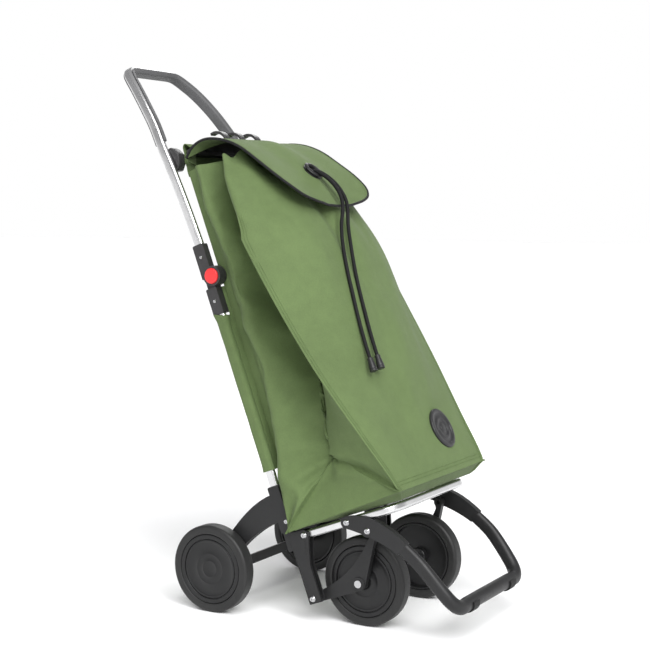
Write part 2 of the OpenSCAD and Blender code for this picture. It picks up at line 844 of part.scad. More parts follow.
eyelet_row = 6;
eyelet_r = 21;
module eyelet() {
    p = flap_profile[eyelet_row];
    n = flap_normal(eyelet_row);
    color(charcoal) placed()
        translate(at3(0, p[0] + n[0] * 3.4, p[1] + n[1] * 3.4))
            rotate([atan2(n[0], n[1]), 0, 0])
                rotate_extrude()
                    translate([eyelet_r - 4, 0]) {
                        square([6, 2.5]);
                        translate([1.5, 1]) square([3, 2.5]);
                    }
}

// ---------------------------------------------------------------- bag

bag_back = tube_fwd + tube_d / 2 + 5;
bag_low = post_top + 1;
bag_split = hinge_up - 17;
bag_front = bag_back + bag_bottom_depth;
rear_half = frame_half - eye_half - 4;
wide = bag_wide_half;
// Height, half width at the front seam, place of the front seam, bulge of the front panel,
// lip of the rear side panel and crease of the side fold, from the bottom to the top edge
bag_levels = [
    [bag_low, bag_bottom_half, bag_front, 4, rear_half + 26, 34, bag_bottom_half - 6, 130],
    [bag_low + 40, bag_bottom_half + 7, bag_front - 7, 9, rear_half + 28, 36,
        bag_bottom_half - 14, 132],
    [bag_low + 112, bag_bottom_half + 20, bag_front - 24, 18, rear_half + 31, 38, 150, 130],
    [bag_low + 235, wide - 14, bag_front - 54, 42, rear_half + 33, 40, 108, 122],
    [bag_low + 350, wide - 3, bag_front - 80, 62, rear_half + 33, 42, 88, 112],
    [bag_split, wide, bag_front - 107, 80, rear_half + 33, 42, 82, 102],
    [bag_split + 108, wide - 14, bag_front - 132, 78, rear_half + 30, 40, 88, 92],
    [bag_top_up - 54, wide - 40, bag_front - 144, 54, rear_half + 26, 36, 92, 84],
    [bag_top_up, wide - 76, bag_front - 150, 14, rear_half + 20, 34, 94, 76]];

function level_at(up) = let(
        i = max([for (k = [0 : len(bag_levels) - 2]) bag_levels[k][0] <= up ? k : 0]),
        a = bag_levels[i],
        b = bag_levels[i + 1])
    lerp(a, b, (up - a[0]) / (b[0] - a[0]));
// Half of a cross-section, from the middle of the back to the middle of the front
function bag_half(l) = [
    [0, bag_back - 2], [rear_half, bag_back], [rear_half + 3, bag_back + 21],
    [l[4], bag_back + l[5]], [l[6], l[7]], [l[1], l[2]],
    for (k = [0.85, 0.6, 0.3]) [l[1] * k, l[2] + l[3] * (1 - k * k)],
    [0, l[2] + l[3]]];
function bag_ring(l) = let(h = bag_half(l), n = len(h)) [
    each h,
    for (i = [n - 2 : -1 : 1]) [-h[i][0], h[i][1]]];
// Moves each corner of a ring inwards by the wall
function inset_ring(p, d) = let(n = len(p)) [
    for (i = [0 : n - 1]) let(
        a = unit(p[i] - p[(i + n - 1) % n]),
        b = unit(p[(i + 1) % n] - p[i]),
        na = [-a[1], a[0]],
        nb = [-b[1], b[0]])
    p[i] + (na + nb) * d / (1 + na * nb)];
function ring_at(ring, up) = [for (q = ring) at3(q[0], q[1], up)];
function bag_front_at(x, up) = let(l = level_at(up)) l[2] + l[3] * (1 - pow(x / l[1], 2));

module bag_shell(ups, closed_low) {
    outer = [for (u = ups) each ring_at(bag_ring(level_at(u)), u)];
    inner = [for (i = [0 : len(ups) - 1]) each ring_at(
        inset_ring(bag_ring(level_at(ups[i])), bag_wall),
        ups[i] + (closed_low && i == 0 ? bag_wall : 0))];
    sides = len(bag_ring(bag_levels[0]));
    color(fabric_green) placed() polyhedron(
        points = concat(outer, inner),
        faces = shell_faces(len(ups), sides, closed_low),
        convexity = 10);
}

module bag_lower() {
    bag_shell([for (l = bag_levels) if (l[0] < bag_split) l[0], bag_split - side_gap], true);
}

module bag_upper() {
    bag_shell([for (l = bag_levels) if (l[0] >= bag_split) l[0]], false);
}

board_t = 3;
// The board stops short of the lips of the rear side panels
board_half = rear_half + 18;
board_front = bag_front - 8;
board_rear = bag_back + 42;
module base_board() {
    color(trim_black) placed()
        translate([-board_half, -board_front, bag_low + bag_wall + 0.3])
            cube([2 * board_half, board_front - board_rear, board_t]);
}

badge_at = [62, bag_low + 94];
badge_gap = 2.8;
module badge() {
    low = bag_front_at(badge_at[0], badge_at[1] - badge_r);
    high = bag_front_at(badge_at[0], badge_at[1] + badge_r);
    pitch = atan((low - high) / (2 * badge_r));
    yaw = 6;
    color(charcoal) placed()
        translate([badge_at[0], -bag_front_at(badge_at[0], badge_at[1]) - badge_gap, badge_at[1]])
            rotate([90 - pitch, 0, yaw]) {
                cylinder(h = 4, r = badge_r, $fn = 96);
                translate([0, 0, 4]) difference() {
                    cylinder(h = 1.5, r = badge_r - 3, $fn = 96);
                    translate([0, 0, -1]) cylinder(h = 4, r = badge_r - 9, $fn = 96);
                }
                translate([0, 0, 4]) cylinder(h = 1.5, r = badge_r * 0.4, $fn = 96);
            }
}

// ---------------------------------------------------------------- drawcord

cord_r = 3.5;
tip_r = 7.5;
tip_len = 27;
// Hand-set routes of the two ends of the cord, as [across, forward, up]
cord_route_a = [
    [-2, 190, 764], [-3, 198, 758], [-4, 212, 742], [-6, 224, 722], [-9, 231, 702],
    [-13, 233, 683], [-21, 231, 664], [-30, 227, 645], [-40, 226, 625], [-48, 226, 607],
    [-60, 227, 575], [-70, 228, 540], [-77, 229, 508], [-85, 230, 474], [-93, 232, 440],
    [-101, 235, 408], [-107, 238, 382]];
cord_route_b = [
    [6, 190, 764], [6, 198, 758], [5, 212, 742], [4, 224, 722], [3, 231, 702],
    [1, 234, 683], [-3, 232, 664], [-9, 229, 645], [-16, 228, 625], [-24, 229, 607],
    [-36, 230, 575], [-47, 231, 540], [-55, 232, 508], [-63, 234, 474], [-71, 236, 440],
    [-79, 239, 408], [-85, 242, 384]];
function route(r) = [for (q = r) at3(q[0], q[1], q[2])];

cord_split = 9;
cord_sides = 8;
cord_steps = 2;

// The stretch of a cord between two points of its route
module cord(r, first, last) {
    path = smooth_path(route(r), cord_steps);
    rings = sweep_points(path, round_section(cord_r, cord_sides), fwd_ref);
    from = first * cord_steps;
    to = last * cord_steps;
    color(trim_black) placed() polyhedron(
        points = [for (i = [from * cord_sides : (to + 1) * cord_sides - 1]) rings[i]],
        faces = tube_faces(to - from + 1, cord_sides),
        convexity = 6);
}

module cord_a_upper() { cord(cord_route_a, 0, cord_split); }
module cord_a_lower() { cord(cord_route_a, cord_split, len(cord_route_a) - 1); }
module cord_b_upper() { cord(cord_route_b, 0, cord_split); }
module cord_b_lower() { cord(cord_route_b, cord_split, len(cord_route_b) - 1); }

// Moulded end piece that carries on in the direction of the cord
module cord_tip(r) {
    p = route(r);
    last = p[len(p) - 1];
    t = unit(last - p[len(p) - 2]);
    color(trim_black) placed()
        translate(last)
            rotate([0, acos(t[2]), atan2(t[1], t[0])]) {
                cylinder(h = 4, r = cord_r + 2);
                translate([0, 0, 4]) cylinder(h = tip_len - 8, r1 = cord_r + 2, r2 = tip_r);
                translate([0, 0, tip_len - 4]) cylinder(h = 4, r = tip_r);
            }
}

module cord_tip_a() { cord_tip(cord_route_a); }
module cord_tip_b() { cord_tip(cord_route_b); }

// ---------------------------------------------------------------- the nodes

lower_tube("right");  // lower_tube_right
lower_tube("left");  // lower_tube_left
lower_socket("right");  // lower_socket_right
lower_socket("left");  // lower_socket_left
hinge_pins();
lower_rivets();
sleeve("right");  // sleeve_right
sleeve("left");  // sleeve_left
post("right");  // post_right
post("left");  // post_left
rear_arm("right");  // rear_arm_right
rear_arm("left");  // rear_arm_left
rear_crossbar();
rear_axles();
arm_screws();
pivot_pins();
handle_tube();
handle_grip();
upper_socket("right");  // upper_socket_right
upper_socket("left");  // upper_socket_left
upper_rivets();
bracket("right");  // bracket_right
bracket("left");  // bracket_left
hook_rail();
button("right");  // button_right
button("left");  // button_left
platform_tube();
foot_pins();
foot_plate("right");  // foot_plate_right
foot_plate("left");  // foot_plate_left
foot_loop();
foot_pads();
link_pins();
fork("right");  // fork_right
fork("left");  // fork_left
front_axle_rod();  // front_axle
mirror([1, 0, 0]) tyre(rear_wheel_in, rear_axle);  // rear_tyre_right
mirror([1, 0, 0]) hub(rear_wheel_in, rear_axle, rear_bore);  // rear_hub_right
tyre(rear_wheel_in, rear_axle);  // rear_tyre_left
hub(rear_wheel_in, rear_axle, rear_bore);  // rear_hub_left
mirror([1, 0, 0]) tyre(front_wheel_in, front_axle);  // front_tyre_right
mirror([1, 0, 0]) hub(front_wheel_in, front_axle, front_bore);  // front_hub_right
tyre(front_wheel_in, front_axle);  // front_tyre_left
hub(front_wheel_in, front_axle, front_bore);  // front_hub_left
bag_lower();
bag_upper();
base_board();
top_panel();
flap();
flap_piping();
eyelet();
badge();
cord_a_upper();
cord_a_lower();
cord_b_upper();
cord_b_lower();
cord_tip_a();
cord_tip_b();
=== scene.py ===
import json
import math

import bmesh
import bpy
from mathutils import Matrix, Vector, noise


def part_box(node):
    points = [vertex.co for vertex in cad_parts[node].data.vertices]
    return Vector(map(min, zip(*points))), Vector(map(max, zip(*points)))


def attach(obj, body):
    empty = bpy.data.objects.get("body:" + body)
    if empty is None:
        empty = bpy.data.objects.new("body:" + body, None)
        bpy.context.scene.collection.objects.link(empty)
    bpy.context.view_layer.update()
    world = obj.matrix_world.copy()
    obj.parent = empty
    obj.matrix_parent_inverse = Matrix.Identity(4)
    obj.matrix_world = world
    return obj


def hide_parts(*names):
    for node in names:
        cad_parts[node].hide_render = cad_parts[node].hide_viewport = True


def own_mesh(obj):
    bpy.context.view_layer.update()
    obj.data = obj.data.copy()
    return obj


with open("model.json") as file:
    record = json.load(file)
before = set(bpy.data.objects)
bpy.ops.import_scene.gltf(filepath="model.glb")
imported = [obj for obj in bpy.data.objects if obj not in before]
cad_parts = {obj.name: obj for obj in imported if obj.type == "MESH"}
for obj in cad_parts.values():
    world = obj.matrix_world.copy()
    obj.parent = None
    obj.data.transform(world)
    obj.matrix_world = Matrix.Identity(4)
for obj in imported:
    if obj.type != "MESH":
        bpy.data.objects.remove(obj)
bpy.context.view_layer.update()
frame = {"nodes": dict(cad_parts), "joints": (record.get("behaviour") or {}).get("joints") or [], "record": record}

# A folding shopping trolley with a drawstring bag. Sizes are in metres. Places are given in the
# trolley's own upright frame: across, forward and up, with the fork pins as the origin.

joints = {joint["name"]: joint for joint in frame["joints"]}
fork_pin = Vector(joints["fork_swing"]["pos_m"])
hinge_arm = Vector(joints["handle_fold"]["pos_m"]) - fork_pin
HINGE_FWD = 0.001
HINGE_UP = math.sqrt(hinge_arm.length_squared - HINGE_FWD ** 2)
LEAN = math.atan2(hinge_arm.y, hinge_arm.z) + math.atan2(HINGE_FWD, HINGE_UP)
ACROSS = Vector((1, 0, 0))
FORWARD = Vector((0, -math.cos(LEAN), math.sin(LEAN)))
UPWARD = Vector((0, math.sin(LEAN), math.cos(LEAN)))
SIDES = {"left": 1, "right": -1}


def at(x, fwd, up):
    """The world place of a point of the upright frame."""
    return fork_pin + ACROSS * x + FORWARD * fwd + UPWARD * up


# ------------------------------------------------------------------ camera

def add_camera():
    target = Vector((0, -0.0298, 0.5347))
    distance, azimuth, elevation = 2.685, math.radians(-59.59), math.radians(4.61)
    data = bpy.data.cameras.new("camera")
    data.sensor_width, data.lens = 36, 77.54
    camera = bpy.data.objects.new("camera", data)
    away = Vector((math.sin(azimuth) * math.cos(elevation),
                   -math.cos(azimuth) * math.cos(elevation), math.sin(elevation)))
    camera.location = target + away * distance
    camera.rotation_euler = (-away).to_track_quat("-Z", "Y").to_euler()
    bpy.context.scene.collection.objects.link(camera)
    bpy.context.scene.camera = camera


add_camera()


# ------------------------------------------------------------------ small sums

def clamp(value, low=0.0, high=1.0):
    return max(low, min(high, value))


def lerp(a, b, t):
    return a + (b - a) * t


def ease(value, start, end):
    """0 at start, 1 at end, and a smooth step between them."""
    t = clamp((value - start) / (end - start))
    return t * t * (3 - 2 * t)


def hump(value, middle, width):
    return math.exp(-((value - middle) / width) ** 2)


def smooth(points, steps):
    """A curve through the points, cut into this many steps between each two of them."""
    p = [Vector(q) for q in points]
    curve = []
    for i in range(len(p) - 1):
        a, b, c, d = p[max(i - 1, 0)], p[i], p[i + 1], p[min(i + 2, len(p) - 1)]
        for step in range(steps):
            t = step / steps
            curve.append(0.5 * (2 * b + (c - a) * t + (2 * a - 5 * b + 4 * c - d) * t * t
                                + (3 * b - a - 3 * c + d) * t ** 3))
    return curve + [p[-1]]


def length_of(path):
    return sum((b - a).length for a, b in zip(path, path[1:]))


def spaced(path, gap):
    """Points along a path, about this far apart."""
    count = max(2, round(length_of(path) / gap) + 1)
    step = length_of(path) / (count - 1)
    points, walked, i = [path[0]], 0.0, 0
    for k in range(1, count - 1):
        while walked + (path[i + 1] - path[i]).length < k * step:
            walked += (path[i + 1] - path[i]).length
            i += 1
        points.append(path[i].lerp(path[i + 1], (k * step - walked) / (path[i + 1] - path[i]).length))
    return points + [path[-1]]


# ------------------------------------------------------------------ meshes

def mesh_piece(name, points, faces, weave=None):
    """A smooth mesh object; weave gives each point's place on the cloth, across and along."""
    mesh = bpy.data.meshes.new(name)
    mesh.from_pydata([tuple(p) for p in points], [], faces)
    if weave:
        layer = mesh.attributes.new("weave", "FLOAT_VECTOR", "POINT")
        layer.data.foreach_set("vector", [value for place in weave for value in (*place, 0.0)])
    for polygon in mesh.polygons:
        polygon.use_smooth = True
    mesh.update()
    piece = bpy.data.objects.new(name, mesh)
    bpy.context.scene.collection.objects.link(piece)
    return piece


def quads(rows, cols, closed=False):
    """Faces of a grid of rows and columns; a closed one joins its last column to its first."""
    return [(i * cols + j, i * cols + (j + 1) % cols, (i + 1) * cols + (j + 1) % cols, (i + 1) * cols + j)
            for i in range(rows - 1) for j in range(cols if closed else cols - 1)]


def loft(name, rings, capped=True):
    """A closed skin through rings that all have the same number of points."""
    cols = len(rings[0])
    faces = quads(len(rings), cols, closed=True)
    if capped:
        faces += [tuple(range(cols))[::-1], tuple((len(rings) - 1) * cols + k for k in range(cols))]
    run = [0.0]
    for low, high in zip(rings, rings[1:]):
        run.append(run[-1] + (high[0] - low[0]).length)
    around = [0.0]
    for a, b in zip(rings[0], rings[0][1:]):
        around.append(around[-1] + (b - a).length)
    weave = [(around[k], run[i]) for i in range(len(rings)) for k in range(cols)]
    return mesh_piece(name, [p for ring in rings for p in ring], faces, weave)


def ring_round(centre, along, section, ahead=FORWARD):
    """A section of (inward, ahead) offsets, laid square to a path at one of its points."""
    inward = ahead.cross(along).normalized()
    front = along.cross(inward)
    return [centre + inward * a + front * b for a, b in section]


def sweep(name, path, section, ahead=FORWARD):
    """Sweeps a section, or a function of the share of the path that gives one, along a path."""
    last = len(path) - 1
    rings = []
    for i, centre in enumerate(path):
        along = (path[min(i + 1, last)] - path[max(i - 1, 0)]).normalized()
        rings.append(ring_round(centre, along, section(i / last) if callable(section) else section, ahead))
    return loft(name, rings)


def oval(width, depth, count):
    """Flat-sided oval, width across and depth ahead."""
    flat = (depth - width) / 2
    corners = []
    for k in range(count):
        turn = 2 * math.pi * k / count
        corners.append((width / 2 * math.cos(turn),
                        width / 2 * math.sin(turn) + math.copysign(flat, math.sin(turn))))
    return corners


def circle(radius, count):
    return oval(2 * radius, 2 * radius, count)


def lathe(name, profile, centre, axis, count=128, closed=False):
    """Turns a profile of (radius, distance along the axis) about an axis."""
    axis = axis.normalized()
    side = axis.orthogonal().normalized()
    other = axis.cross(side)
    rings = []
    for k in range(count):
        turn = 2 * math.pi * k / count
        out = side * math.cos(turn) + other * math.sin(turn)
        rings.append([centre + out * radius + axis * along for radius, along in profile])
    cols = len(profile)
    faces = []
    for k in range(count):
        for j in range(cols if closed else cols - 1):
            after, right = (k + 1) % count, (j + 1) % cols
            faces.append((k * cols + j, after * cols + j, after * cols + right, k * cols + right))
    piece = mesh_piece(name, [p for ring in rings for p in ring], faces)
    tidy(piece)
    return piece


def tidy(piece, gap=1e-6):
    """Joins points that coincide, drops faces without area and turns all faces outwards."""
    shape = bmesh.new()
    shape.from_mesh(piece.data)
    bmesh.ops.remove_doubles(shape, verts=shape.verts, dist=gap)
    bmesh.ops.dissolve_degenerate(shape, edges=shape.edges, dist=gap)
    bmesh.ops.recalc_face_normals(shape, faces=shape.faces)
    shape.to_mesh(piece.data)
    shape.free()


def settle_modifiers(piece, sharp=50):
    """Turns a piece's modifiers into its mesh, with edges sharper than this angle kept crisp."""
    view = bpy.context.evaluated_depsgraph_get()
    mesh = bpy.data.meshes.new_from_object(piece.evaluated_get(view), depsgraph=view)
    piece.modifiers.clear()
    piece.data = mesh
    mesh.set_sharp_from_angle(angle=math.radians(sharp))


def thicken(piece, thickness, lined=False, outward=-1):
    sheet = piece.modifiers.new("thickness", "SOLIDIFY")
    sheet.thickness, sheet.offset = thickness, outward
    sheet.material_offset = 1 if lined else 0
    settle_modifiers(piece)


def soften(piece, width, segments=3, angle=30):
    edge = piece.modifiers.new("soft edges", "BEVEL")
    edge.width, edge.segments, edge.angle_limit = width, segments, math.radians(angle)


def plate(name, outline, near, far, soft=0.001):
    """A flat plate in the side plane, from an outline of (forward, up) points."""
    count = len(outline)
    points = [at(x, fwd, up) for x in (near, far) for fwd, up in outline]
    faces = [tuple(range(count)), tuple(range(2 * count - 1, count - 1, -1))]
    faces += [(k, k + count, (k + 1) % count + count, (k + 1) % count) for k in range(count)]
    piece = mesh_piece(name, points, faces)
    tidy(piece)
    soften(piece, soft)
    settle_modifiers(piece, 35)
    return piece


def settle(piece, body, slot, finishes, *stands_for):
    """Puts a piece on its body, with its materials and the CAD nodes that it stands for; the slot is not used."""
    for finish in finishes if isinstance(finishes, list) else [finishes]:
        if finish.name not in piece.data.materials:
            piece.data.materials.append(finish)
    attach(piece, body)
    if stands_for:
        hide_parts(*stands_for)
    return piece


FOLD_BACK = at(0, 0.003, 0.5)


def crumple(piece):
    """Gives the piece its own copy of its mesh."""
    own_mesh(piece)


# ------------------------------------------------------------------ materials

class Wire:
    """An output of a node. Sums on it add Math nodes to its tree."""

    def __init__(self, tree, socket=None):
        self.tree, self.socket = tree, socket

    def node(self, kind, sockets=(), output=0, stops=None, **settings):
        """Adds a node of any type and returns one of its outputs."""
        node = self.tree.nodes.new("ShaderNode" + kind)
        for key, value in settings.items():
            setattr(node, key, value)
        if stops:
            ramp = node.color_ramp.elements
            while len(ramp) < len(stops):
                ramp.new(0.5)
            for element, (place, colour) in zip(ramp, stops):
                element.position, element.color = place, colour
        for key, value in dict(sockets).items():
            if isinstance(value, Wire):
                self.tree.links.new(value.socket, node.inputs[key])
            else:
                node.inputs[key].default_value = value
        return Wire(self.tree, node.outputs[output])

    def math(self, operation, *values):
        return self.node("Math", enumerate(values), operation=operation)

    def __add__(self, other):
        return self.math("ADD", self, other)

    def __sub__(self, other):
        return self.math("SUBTRACT", self, other)

    def __rsub__(self, other):
        return self.math("SUBTRACT", other, self)

    def __mul__(self, other):
        return self.math("MULTIPLY", self, other)

    __radd__ = __add__
    __rmul__ = __mul__

    def sine(self):
        return self.math("SINE", self)

    def size(self):
        return self.math("ABSOLUTE", self)

    def band(self, low, high):
        """0 below low, 1 above high."""
        return self.node("MapRange", {"Value": self, "From Min": low, "From Max": high})

    def noise(self, place, scale, detail=2.0, stretch=None):
        if stretch:
            place = self.node("VectorMath", {0: place, 1: stretch}, operation="MULTIPLY")
        return self.node("TexNoise", {"Vector": place, "Scale": scale, "Detail": detail})

    def colours(self, share, first, second):
        return self.node("Mix", {0: share, 6: first, 7: second}, output=2, data_type="RGBA")

    def bump(self, height, distance, strength=1.0):
        return self.node("Bump", {"Height": height, "Distance": distance, "Strength": strength})


def shade(colour, factor):
    return tuple(clamp(channel * factor) for channel in colour[:3]) + (1.0,)


def socket_name(key):
    return key.replace("_", " ").title().replace("Ior", "IOR")


def new_material(name, **uniform):
    """A material, its board of nodes, a place vector on the object, and a function for its inputs."""
    material = bpy.data.materials.new(name)
    material.use_nodes = True
    tree = material.node_tree
    shader = next(node for node in tree.nodes if node.type == "BSDF_PRINCIPLED")
    for key, value in uniform.items():
        shader.inputs[socket_name(key)].default_value = value
    board = Wire(tree)
    place = board.node("TexCoord", output=3)
    material.diffuse_color = uniform.get("base_color", (0.5, 0.5, 0.5, 1))

    def feed(**links):
        for key, wire in links.items():
            tree.links.new(wire.socket, shader.inputs[socket_name(key)])

    return material, board, place, feed


def woven(name, colour, pitch, contrast=0.14, sheen=0.03, rough=0.78, relief=0.00018):
    """Plain-woven cloth: threads over and under, with soft wear and dye variation."""
    material, board, place, feed = new_material(name, sheen_weight=sheen, specular_ior_level=0.3)
    weave = board.node("Attribute", attribute_name="weave", output=1)
    across = board.node("SeparateXYZ", {0: weave}, output=0)
    along = board.node("SeparateXYZ", {0: weave}, output=1)
    thread = math.pi / pitch
    wobble = board.noise(place, 70, 3) * 0.5 * pitch
    warp = ((across + wobble) * thread).sine()
    weft = ((along + wobble) * thread).sine()
    over = (warp * weft).band(-0.35, 0.35)
    height = over * warp.size() + (1 - over) * weft.size()
    slub = board.noise(weave, 1.0, 3, stretch=(900, 60, 1))
    cloud = board.noise(place, 9, 3)
    patch = board.noise(place, 55, 4)
    grain = board.noise(place, 420, 2)
    tone = cloud * 0.26 + patch * 0.24 + grain * 0.28 + slub * 0.14 + height * 0.08
    base = board.colours(tone.band(0.36, 0.64), shade(colour, 1 - contrast), shade(colour, 1 + contrast))
    lift = height * 0.6 + grain * 0.9 + patch * 2.2
    feed(base_color=base, roughness=tone.band(0.0, 1.0) * 0.16 + (rough - 0.08),
         normal=board.bump(lift, relief))
    return material


def moulded(name, colour, rough, grain_size=1900, relief=0.00005, coat=0.0, wear=0.35):
    """Moulded plastic or rubber: a fine spark grain, faint flow marks and paler edges."""
    material, board, place, feed = new_material(name, coat_roughness=0.25, specular_ior_level=0.35)
    grain = board.noise(place, grain_size, 2)
    flow = board.noise(place, 14, 3)
    scuff = board.noise(place, 130, 4)
    edge = board.node("NewGeometry", output=7).band(0.52, 0.60)
    tone = flow * 0.6 + scuff * 0.4
    base = board.colours(tone.band(0.35, 0.65), shade(colour, 0.86), shade(colour, 1.16))
    base = board.colours(edge * scuff * wear, base, shade(colour, 2.6))
    feed(base_color=base, roughness=rough + (scuff - 0.5) * 0.22 + (grain - 0.5) * 0.1,
         normal=board.bump(grain * 0.7 + scuff * 0.6, relief))
    if coat:
        feed(coat_weight=coat + (scuff - 0.5) * 0.1)
    return material


def brushed(name, colour, rough, stretch, streak=0.09):
    """Drawn metal: fine streaks along its length."""
    material, board, place, feed = new_material(name, metallic=1.0)
    turned = board.node("VectorRotate", {"Vector": place, "Angle": LEAN}, rotation_type="X_AXIS")
    lines = board.noise(turned, 1.0, 3, stretch=stretch)
    stain = board.noise(place, 22, 3)
    base = board.colours(stain.band(0.35, 0.65), shade(colour, 0.93), shade(colour, 1.04))
    feed(base_color=base, roughness=rough + (lines - 0.5) * streak * 2 + (stain - 0.5) * 0.05,
         normal=board.bump(lines, 0.000002, 0.3))
    return material


def braided(name, colour):
    material, board, place, feed = new_material(name, specular_ior_level=0.25)
    weave = board.node("Attribute", attribute_name="weave", output=1)
    fibre = board.noise(weave, 1.0, 2, stretch=(4000, 1400, 1))
    fuzz = board.noise(place, 900, 3)
    base = board.colours(fibre * 0.6 + fuzz * 0.4, shade(colour, 0.6), shade(colour, 1.7))
    feed(base_color=base, roughness=0.72 + (fuzz - 0.5) * 0.2, normal=board.bump(fibre + fuzz, 0.00012))
    return material


def netted(name, colour):
    """Black knitted net: small holes in rows."""
    material, board, place, feed = new_material(name, specular_ior_level=0.25)
    weave = board.node("Attribute", attribute_name="weave", output=1)
    across = board.node("SeparateXYZ", {0: weave}, output=0)
    along = board.node("SeparateXYZ", {0: weave}, output=1)
    mesh_pitch = math.pi / 0.0022
    hole = ((across * mesh_pitch).sine() * (along * mesh_pitch).sine()).size()
    fuzz = board.noise(place, 600, 3)
    base = board.colours(hole.band(0.45, 0.75), shade(colour, 1.5), shade(colour, 0.35))
    feed(base_color=base, roughness=0.8 + (fuzz - 0.5) * 0.2, normal=board.bump(1 - hole, 0.0003))
    return material


GREEN = (0.104, 0.152, 0.056, 1)
CHARCOAL = (0.014, 0.014, 0.0145, 1)

fabric = woven("green_cloth", GREEN, 0.0009)
# A darker copy of the green cloth: painted shade for the downward faces, the bag's bottom and the flap's
# underside.
underside_shade_fabric = woven("green_cloth_shaded_underside", shade(GREEN, 0.82), 0.0009, relief=0.00012)
lining = woven("black_lining", (0.006, 0.006, 0.0065, 1), 0.0008, sheen=0.02)
binding = woven("black_binding", (0.007, 0.007, 0.0075, 1), 0.0012, contrast=0.3, sheen=0.04, rough=0.7)
thread = woven("green_thread", shade(GREEN, 1.25), 0.0004, rough=0.6)
net = netted("black_net", (0.008, 0.008, 0.0085, 1))
braid = braided("black_braid", (0.006, 0.006, 0.0065, 1))
charcoal = moulded("charcoal_plastic", CHARCOAL, 0.44)
socket_grey = moulded("hinge_plastic", (0.034, 0.033, 0.034, 1), 0.36)
grip_grey = moulded("grip_foam", (0.085, 0.085, 0.088, 1), 0.58, grain_size=1200, relief=0.00012, wear=0.1)
tyre_black = moulded("tyre_rubber", (0.018, 0.018, 0.018, 1), 0.50, grain_size=900, relief=0.00008)
hub_black = moulded("hub_plastic", (0.010, 0.010, 0.0105, 1), 0.34)
pad_black = moulded("pad_rubber", (0.009, 0.009, 0.009, 1), 0.7, grain_size=700, relief=0.0001)
tip_grey = moulded("cord_end_plastic", (0.022, 0.022, 0.0225, 1), 0.34)
badge_grey = moulded("badge_plastic", (0.020, 0.020, 0.021, 1), 0.36)
button_red = moulded("red_plastic", (0.72, 0.030, 0.032, 1), 0.33, grain_size=2600, relief=0.00002,
                     coat=0.25, wear=0.05)
board_black = moulded("board_skin", (0.02, 0.02, 0.021, 1), 0.6, grain_size=500, relief=0.0002)
silver = brushed("satin_aluminium", (0.70, 0.70, 0.705, 1), 0.26, (700, 700, 4), 0.03)
steel = brushed("bright_steel", (0.50, 0.50, 0.51, 1), 0.22, (300, 300, 300), 0.02)


# ------------------------------------------------------------------ drawcord

CORD_D = 0.007
CORD_SPLIT = 9
CORD_STEPS = 2
ROUTES = {
    "a": [(-0.002, 0.190, 0.764), (-0.003, 0.198, 0.758), (-0.004, 0.212, 0.742),
          (-0.006, 0.224, 0.722), (-0.009, 0.231, 0.702), (-0.013, 0.233, 0.683),
          (-0.021, 0.231, 0.664), (-0.030, 0.227, 0.645), (-0.040, 0.226, 0.625),
          (-0.048, 0.226, 0.607), (-0.060, 0.227, 0.575), (-0.070, 0.228, 0.540),
          (-0.077, 0.229, 0.508), (-0.085, 0.230, 0.474), (-0.093, 0.232, 0.440),
          (-0.101, 0.235, 0.408), (-0.107, 0.238, 0.382)],
    "b": [(0.006, 0.190, 0.764), (0.006, 0.198, 0.758), (0.005, 0.212, 0.742),
          (0.004, 0.224, 0.722), (0.003, 0.231, 0.702), (0.001, 0.234, 0.683),
          (-0.003, 0.232, 0.664), (-0.009, 0.229, 0.645), (-0.016, 0.228, 0.625),
          (-0.024, 0.229, 0.607), (-0.036, 0.230, 0.575), (-0.047, 0.231, 0.540),
          (-0.055, 0.232, 0.508), (-0.063, 0.234, 0.474), (-0.071, 0.236, 0.440),
          (-0.079, 0.239, 0.408), (-0.085, 0.242, 0.384)],
}


def braided_tube(name, path, sides=20, strands=4, lay=0.013):
    """A cord whose surface rises where its crossing strands run over each other."""
    last = len(path) - 1
    rings, run = [], 0.0
    for i, centre in enumerate(path):
        run += (centre - path[max(i - 1, 0)]).length
        along = (path[min(i + 1, last)] - path[max(i - 1, 0)]).normalized()
        section = []
        for k in range(sides):
            turn = 2 * math.pi * k / sides
            twist = 2 * math.pi * run / lay
            strand_turns = (strands / 2 * (turn + twist), strands / 2 * (turn - twist))
            ridge = max(abs(math.cos(strand_turn)) for strand_turn in strand_turns)
            radius = CORD_D / 2 * (0.88 + 0.13 * ridge)
            section.append((radius * math.cos(turn), radius * math.sin(turn)))
        rings.append(ring_round(centre, along, section))
    return loft(name, rings)


def cord_end(name, path):
    """Moulded end piece that widens towards its rounded foot."""
    along = (path[-1] - path[-2]).normalized()
    profile = [(0, 0.0), (0.0048, 0.0002), (0.0056, 0.001), (0.0057, 0.0035), (0.0051, 0.0045),
               (0.0052, 0.0055), (0.0058, 0.009), (0.0066, 0.016), (0.0073, 0.0215), (0.0066, 0.0222),
               (0.0066, 0.0230), (0.0074, 0.0236), (0.0074, 0.0256), (0.0068, 0.0266), (0.0040, 0.0269),
               (0, 0.0269)]
    piece = lathe(name, profile, path[-1] - along * 0.0005, along, 48)
    soften(piece, 0.0003, 2)
    settle_modifiers(piece, 40)
    return piece


def make_cords():
    for letter, route in ROUTES.items():
        path = smooth([at(*place) for place in route], CORD_STEPS)
        parts = {"upper": path[:CORD_SPLIT * CORD_STEPS + 1], "lower": path[CORD_SPLIT * CORD_STEPS:]}
        tip = cord_end(f"cord_end_{letter}", path)
        settle(tip, "frame", "tip_plastic", tip_grey, f"cord_tip_{letter}")
        crumple(tip)
        for part, body in (("upper", "handle"), ("lower", "frame")):
            line = spaced(smooth(parts[part], 6), 0.0013)
            cord = braided_tube(f"drawcord_{letter}_{part}", line)
            settle(cord, body, "black_trim", braid, f"cord_{letter}_{part}")
            crumple(cord)
            round(length_of(line), 3)


make_cords()


# ------------------------------------------------------------------ bag

